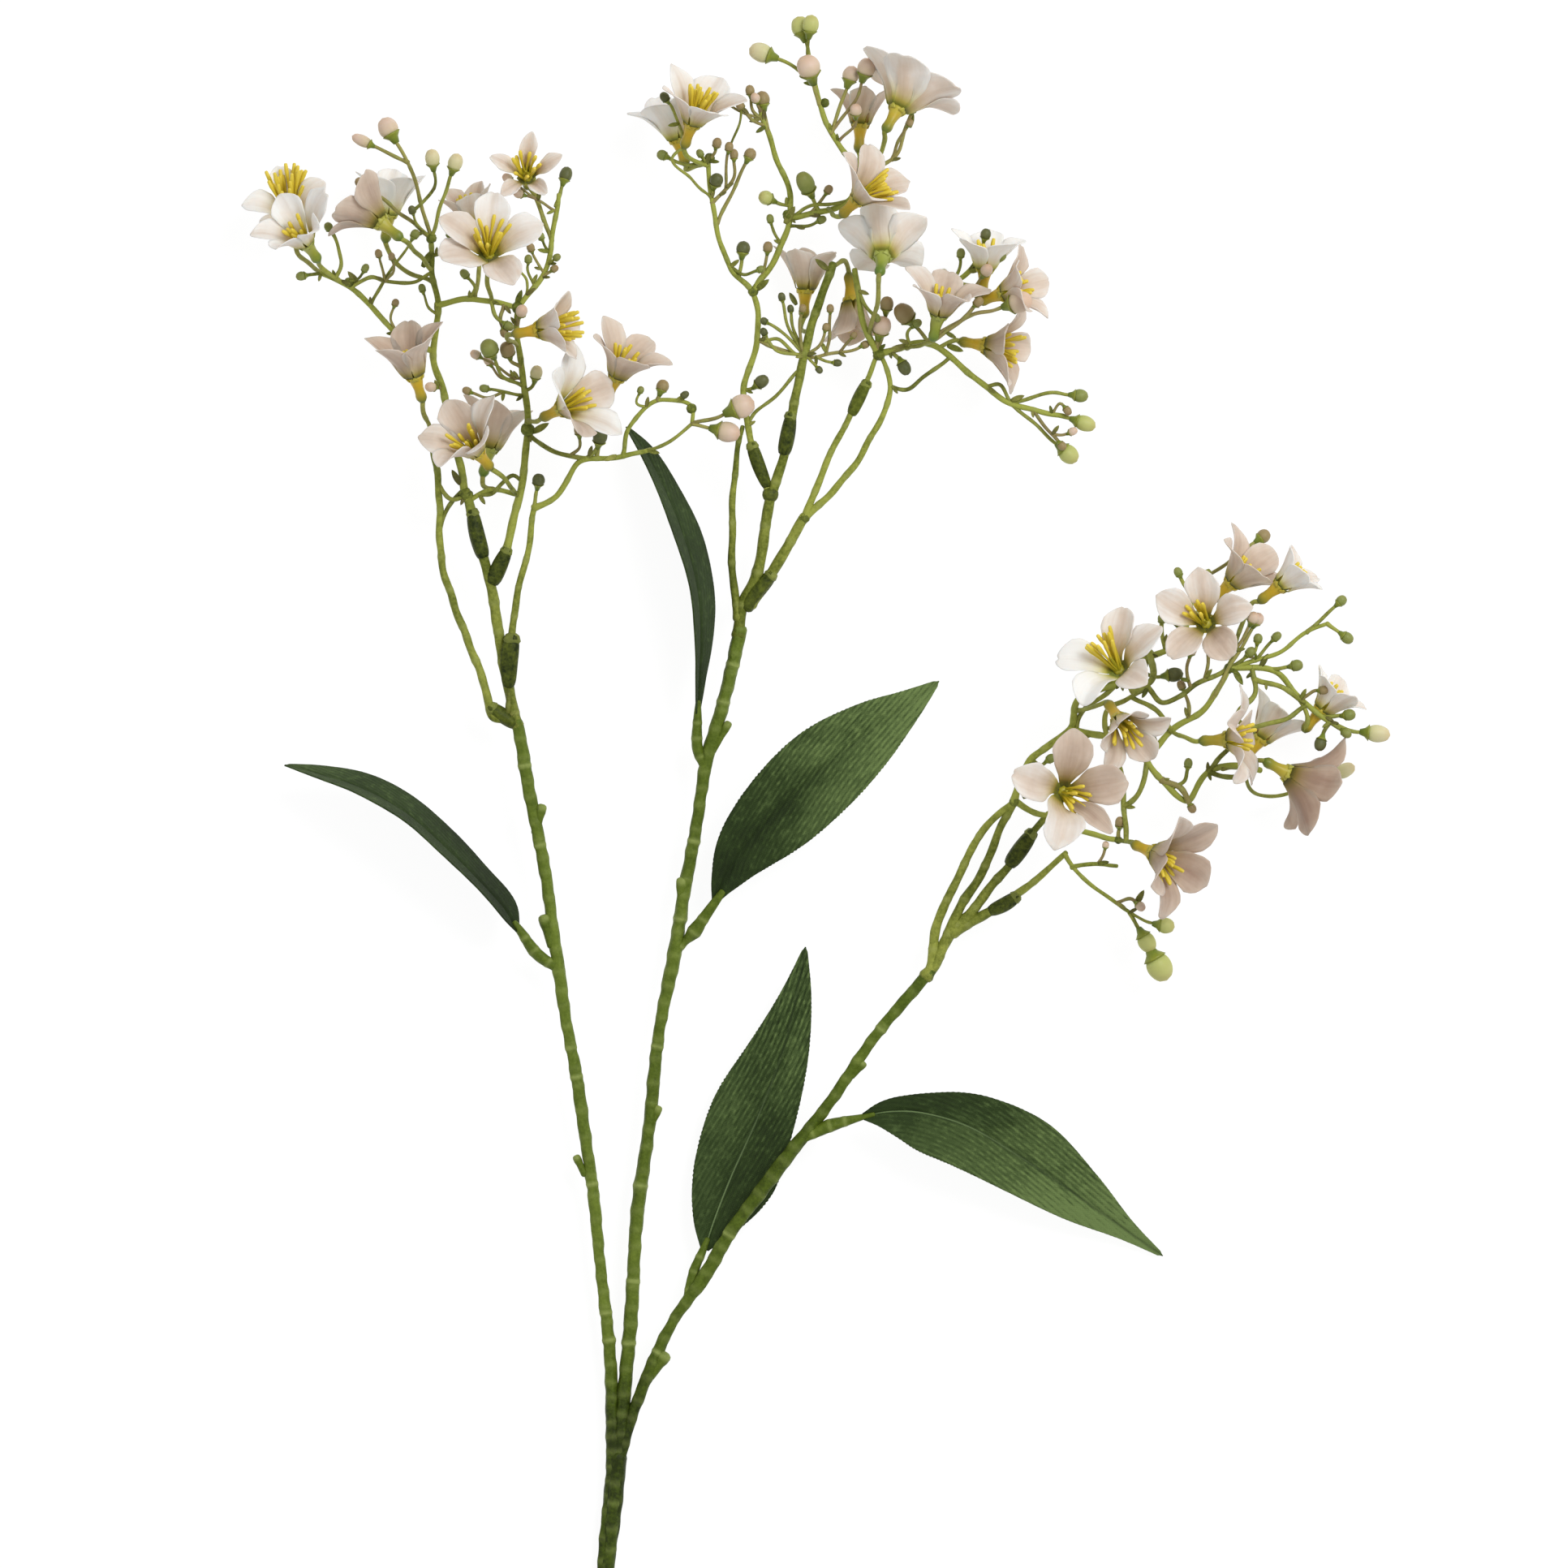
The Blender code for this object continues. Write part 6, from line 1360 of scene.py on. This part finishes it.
def plastic(name, dark, middle, light, ring, warm):
    """Moulded green plastic: blotchy, paler on its joint rings as a painted highlight, pink-brown where a
    twig is warm.
    """
    look = Look(name)
    blotch = look.noise(260.0, 4.0)
    speck = look.noise(900.0, 3.0)
    level = look.shifted(look.value("tone"), blotch, 0.5, 0.8)
    level = look.shifted(level, speck, 0.5, 0.65)
    colour = look.ramp(level, ((0.0, dark), (0.45, middle), (1.0, light)))
    colour = look.mix(look.times(look.value("warm"), 0.8), colour, warm)
    # Paler on the joint rings and faint knots: a painted highlight on their raised ridges.
    colour = look.mix(look.times(look.value("ring"), look.plus(0.25, blotch)), colour, ring)
    look.bump(look.plus(blotch, look.times(speck, 0.7)), 0.45, 0.0007)
    return look.finished(colour, {"Roughness": 0.5, "Specular IOR Level": 0.14})


def leaf_material():
    """Dyed woven fabric: threads along the blade, a pale midrib at its foot, lighter towards the tip, with
    painted shade in the midrib's groove and painted highlight and shade from the shade value.
    """
    look = Look("leaf_weave")
    along, offset, weave = look.value("along"), look.value("offset"), look.value("weave")
    x, y = look.value("fibre_x"), look.value("fibre_y")
    threads = look.grain(2.0, look.times(x, 1.25), look.times(y, 0.20))
    streak = look.times(look.minus(threads, 0.5), 1.5)
    cloth = look.times(look.stripes(x, 0.62), look.stripes(y, 0.70))
    rows = look.stripes(x, 1.7)
    blotch = look.noise(75.0, 4.0)
    level = look.shifted(look.value("shade"), blotch, 0.5, 0.45)
    level = look.shifted(level, look.noise(28.0, 2.0), 0.45, 0.35)
    strong = look.times(look.plus(0.10, look.times(along, 0.20)), look.plus(0.3, weave))
    level = look.plus(level, look.times(streak, strong))
    dashes = look.grain(3.0, look.times(x, 0.9), look.times(y, 0.42))
    dashes = look.times(look.plus(rows, 0.25), look.positive(look.minus(dashes, 0.38)))
    strong = look.plus(0.20, look.times(along, 1.6))
    level = look.plus(level, look.times(look.times(dashes, weave), strong))
    flecks = look.positive(look.minus(look.noise(420.0, 4.0), 0.52))
    level = look.plus(level, look.times(flecks, 1.1))
    level = look.plus(level, look.times(cloth, 0.035))
    colour = look.ramp(level, ((0.0, (0.013, 0.024, 0.005)), (0.3, (0.027, 0.049, 0.010)),
                               (0.6, (0.066, 0.105, 0.029)), (1.0, (0.142, 0.208, 0.064))))
    fade = look.positive(look.times(look.minus(0.62, along), 2.2))
    rib = look.combined("MINIMUM", look.times(look.ridge(offset, 0.42), fade), 0.9)
    # Painted shade along the midrib's sunk groove, as strong as the crease value.
    painted_midrib_shade = look.times(look.ridge(offset, 0.9), look.value("crease"))
    colour = look.mix(painted_midrib_shade, colour, (0.012, 0.022, 0.008))
    colour = look.mix(look.times(rib, look.value("pale")), colour, (0.190, 0.270, 0.110))
    height = look.plus(look.times(streak, 0.8), look.times(cloth, 0.35))
    height = look.plus(height, look.times(rows, 0.25))
    look.bump(look.plus(height, blotch), 0.5, 0.00035)
    return look.finished(colour, {"Roughness": 0.66, "Specular IOR Level": 0.16})


def petal_material():
    """Thin dyed cloth: green-yellow at the foot, blush in the middle, near white at the edge, streaked; the
    blush middle and darker foot are partly painted shade, and the near white edges and pale tip are painted
    highlight.
    """
    look = Look("petal_cloth")
    along, across, tint = look.value("along"), look.value("across"), look.value("tint")
    cloud = look.noise(130.0, 3.0)
    streak = look.grain(3.0, look.times(across, 4.5), look.times(along, 1.3), look.times(tint, 23.0))
    streak = look.minus(streak, 0.5)
    veins = look.combined("SINE", look.times(across, look.plus(26.0, look.times(cloud, 9.0))))
    level = look.shifted(tint, cloud, 0.5, 0.8)
    level = look.plus(level, look.times(streak, 0.6))
    off_middle = look.combined("ABSOLUTE", across)
    # Painted shade in the middle of each petal and painted highlight towards its side edges.
    level = look.plus(level, look.times(look.minus(0.42, off_middle), 0.50))
    # Painted shade, darker towards the foot where the petal goes into the throat.
    level = look.plus(level, look.times(look.minus(0.62, along), 0.55))
    colour = look.ramp(look.times(level, 0.5), (
        (0.0, (0.850, 0.830, 0.795)), (0.20, (0.755, 0.695, 0.640)), (0.40, (0.640, 0.540, 0.462)),
        (0.60, (0.515, 0.416, 0.338)), (0.82, (0.390, 0.302, 0.238)), (1.0, (0.300, 0.215, 0.165))))
    # Painted highlight: the tip is pulled towards pale grey.
    edge = look.positive(look.times(look.minus(along, 0.78), 0.9))
    colour = look.mix(edge, colour, (0.660, 0.650, 0.590))
    colour = look.mix(look.times(look.plus(veins, 1.0), 0.010), colour, (0.450, 0.330, 0.280))
    # Green-yellow at the foot is the petal's own colour; the faint darkening from there to about half way is
    # painted shade towards the throat.
    foot = look.ramp(along, ((0.0, (0.240, 0.300, 0.030)), (0.07, (0.600, 0.600, 0.140)),
                             (0.18, (0.840, 0.820, 0.560)), (0.34, (0.950, 0.940, 0.880)), (0.55, WHITE)))
    colour = look.mix(1.0, colour, foot, "MULTIPLY")
    height = look.plus(look.times(veins, 0.08), cloud)
    look.bump(look.plus(height, look.times(streak, 0.8)), 0.25, 0.0004)
    return look.finished(colour, {
        "Roughness": 0.7, "Specular IOR Level": 0.2, "Subsurface Weight": 0.3,
        "Subsurface Radius": (0.0014, 0.0010, 0.0008), "Subsurface Scale": 1.0, "Sheen Weight": 0.15})


def stamen_material():
    """Waxy yellow, green at the foot."""
    look = Look("stamen_yellow")
    patch = look.noise(500.0, 2.0)
    colour = look.ramp(look.value("along"), (
        (0.0, (0.200, 0.240, 0.020)), (0.25, (0.460, 0.400, 0.018)), (0.6, (0.690, 0.540, 0.028)),
        (1.0, (0.800, 0.640, 0.070))))
    colour = look.mix(look.times(patch, 0.25), colour, (0.560, 0.360, 0.010))
    look.bump(patch, 0.3, 0.0003)
    return look.finished(colour, {"Roughness": 0.45, "Specular IOR Level": 0.4, "Subsurface Weight": 0.1,
                                  "Subsurface Radius": (0.001, 0.0008, 0.0002)})


def calyx_material():
    """Moulded plastic between green and orange-yellow, darker at the foot."""
    look = Look("calyx_plastic")
    patch = look.noise(320.0, 3.0)
    place = look.shifted(look.value("along"), patch, 0.5, 0.35)
    green = look.ramp(place, ((0.0, (0.100, 0.180, 0.020)), (0.5, (0.230, 0.300, 0.035)),
                              (1.0, (0.330, 0.380, 0.080))))
    yellow = look.ramp(place, ((0.0, (0.150, 0.160, 0.018)), (0.30, (0.430, 0.300, 0.014)),
                               (0.70, (0.630, 0.380, 0.012)), (1.0, (0.560, 0.430, 0.030))))
    colour = look.mix(look.value("tone"), green, yellow)
    look.bump(patch, 0.3, 0.0004)
    return look.finished(colour, {"Roughness": 0.42, "Specular IOR Level": 0.4})


def bud_material():
    """A bud's skin in the colour of its kind, greener at the foot."""
    look = Look("bud_skin")
    patch = look.noise(280.0, 3.0)
    colour = look.ramp(look.value("kind"), (
        (0.0, (0.720, 0.540, 0.450)), (0.15, (0.680, 0.620, 0.380)), (0.35, (0.500, 0.520, 0.170)),
        (0.55, (0.190, 0.235, 0.040)), (0.75, (0.040, 0.062, 0.010)), (0.95, (0.290, 0.205, 0.095))),
        "CONSTANT")
    tip = look.ramp(look.value("along"), ((0.0, (0.55, 0.75, 0.35)), (0.3, (0.9, 0.96, 0.8)), (0.7, WHITE),
                                          (1.0, (0.95, 0.82, 0.72))))
    colour = look.mix(0.8, colour, tip, "MULTIPLY")
    colour = look.mix(look.times(patch, 0.35), colour, (0.450, 0.400, 0.180))
    look.bump(patch, 0.25, 0.0004)
    return look.finished(colour, {"Roughness": 0.5, "Specular IOR Level": 0.35, "Subsurface Weight": 0.15,
                                  "Subsurface Radius": (0.0012, 0.0009, 0.0005)})


# The fourth colour of each plastic is the painted highlight on the joint rings.
STEM = plastic("stem_green", (0.022, 0.034, 0.003), (0.077, 0.115, 0.009), (0.156, 0.212, 0.026),
               (0.310, 0.370, 0.105), (0.260, 0.180, 0.090))
STALK = plastic("stalk_green", (0.018, 0.028, 0.004), (0.110, 0.135, 0.014), (0.330, 0.360, 0.065),
                (0.300, 0.330, 0.090), (0.340, 0.230, 0.130))
CALYX = calyx_material()
STAMEN = stamen_material()
BUD = bud_material()
PETAL = petal_material()
LEAF = leaf_material()


def floor():
    """A white floor just under the sprig."""
    mesh = bpy.data.meshes.new("floor")
    corners = [(-FLOOR_HALF, -FLOOR_HALF, 0), (FLOOR_HALF, -FLOOR_HALF, 0), (FLOOR_HALF, FLOOR_HALF, 0),
               (-FLOOR_HALF, FLOOR_HALF, 0)]
    mesh.from_pydata(corners, [], [(0, 1, 2, 3)])
    obj = bpy.data.objects.new("floor", mesh)
    obj.location = (0, 0, -FLOOR_DROP)
    bpy.context.scene.collection.objects.link(obj)
    mesh.materials.append(Look("floor_white").finished((FLOOR_GREY, FLOOR_GREY, FLOOR_GREY), {
        "Emission Color": WHITE, "Emission Strength": FLOOR_GLOW, "Roughness": 0.9,
        "Specular IOR Level": 0.1}))


def area_light(name, place, size, power):
    """A round light that shines at the frame's origin."""
    data = bpy.data.lights.new(name, "AREA")
    data.shape = "DISK"
    data.size = size
    data.energy = power
    obj = bpy.data.objects.new(name, data)
    obj.location = place
    obj.rotation_mode = "QUATERNION"
    obj.rotation_quaternion = (Vector((0, 0, 0)) - Vector(place)).to_track_quat("-Z", "Y")
    obj.visible_camera = False
    bpy.context.scene.collection.objects.link(obj)


def camera():
    """A long lens straight above, with the photograph's frame."""
    data = bpy.data.cameras.new("camera")
    data.lens = LENS
    data.sensor_width = SENSOR
    data.clip_end = VIEW_REACH
    obj = bpy.data.objects.new("camera", data)
    distance = VIEW_WIDTH * MM * LENS / SENSOR
    obj.location = (VIEW_CENTRE[0] * MM, VIEW_CENTRE[1] * MM, VIEW_LEVEL * MM + distance)
    bpy.context.scene.collection.objects.link(obj)
    bpy.context.scene.camera = obj


def sky():
    """An even white light from all round."""
    world = bpy.data.worlds.new("studio")
    world.use_nodes = True
    world.node_tree.nodes["Background"].inputs["Color"].default_value = (*WHITE, 1)
    world.node_tree.nodes["Background"].inputs["Strength"].default_value = SKY
    bpy.context.scene.world = world


stem()
spray("left", LEFT_STALKS, LEFT_THICK, LEFT_KNOBS, LEFT_BUDS, LEFT_TWIGS, LEFT_BRACTS, LEFT_BLOOMS)
spray("middle", MIDDLE_STALKS, MIDDLE_THICK, MIDDLE_KNOBS, MIDDLE_BUDS, MIDDLE_TWIGS, MIDDLE_BRACTS,
      MIDDLE_BLOOMS)
spray("right", RIGHT_STALKS, RIGHT_THICK, RIGHT_KNOBS, RIGHT_BUDS, RIGHT_TWIGS, RIGHT_BRACTS, RIGHT_BLOOMS)
for name, node, stations, look in LEAVES:
    leaf(name, node, stations, look)
floor()
camera()
for name, place, size, power in LIGHTS:
    area_light(name, place, size, power)
sky()
bpy.context.scene.view_settings.view_transform = "Standard"
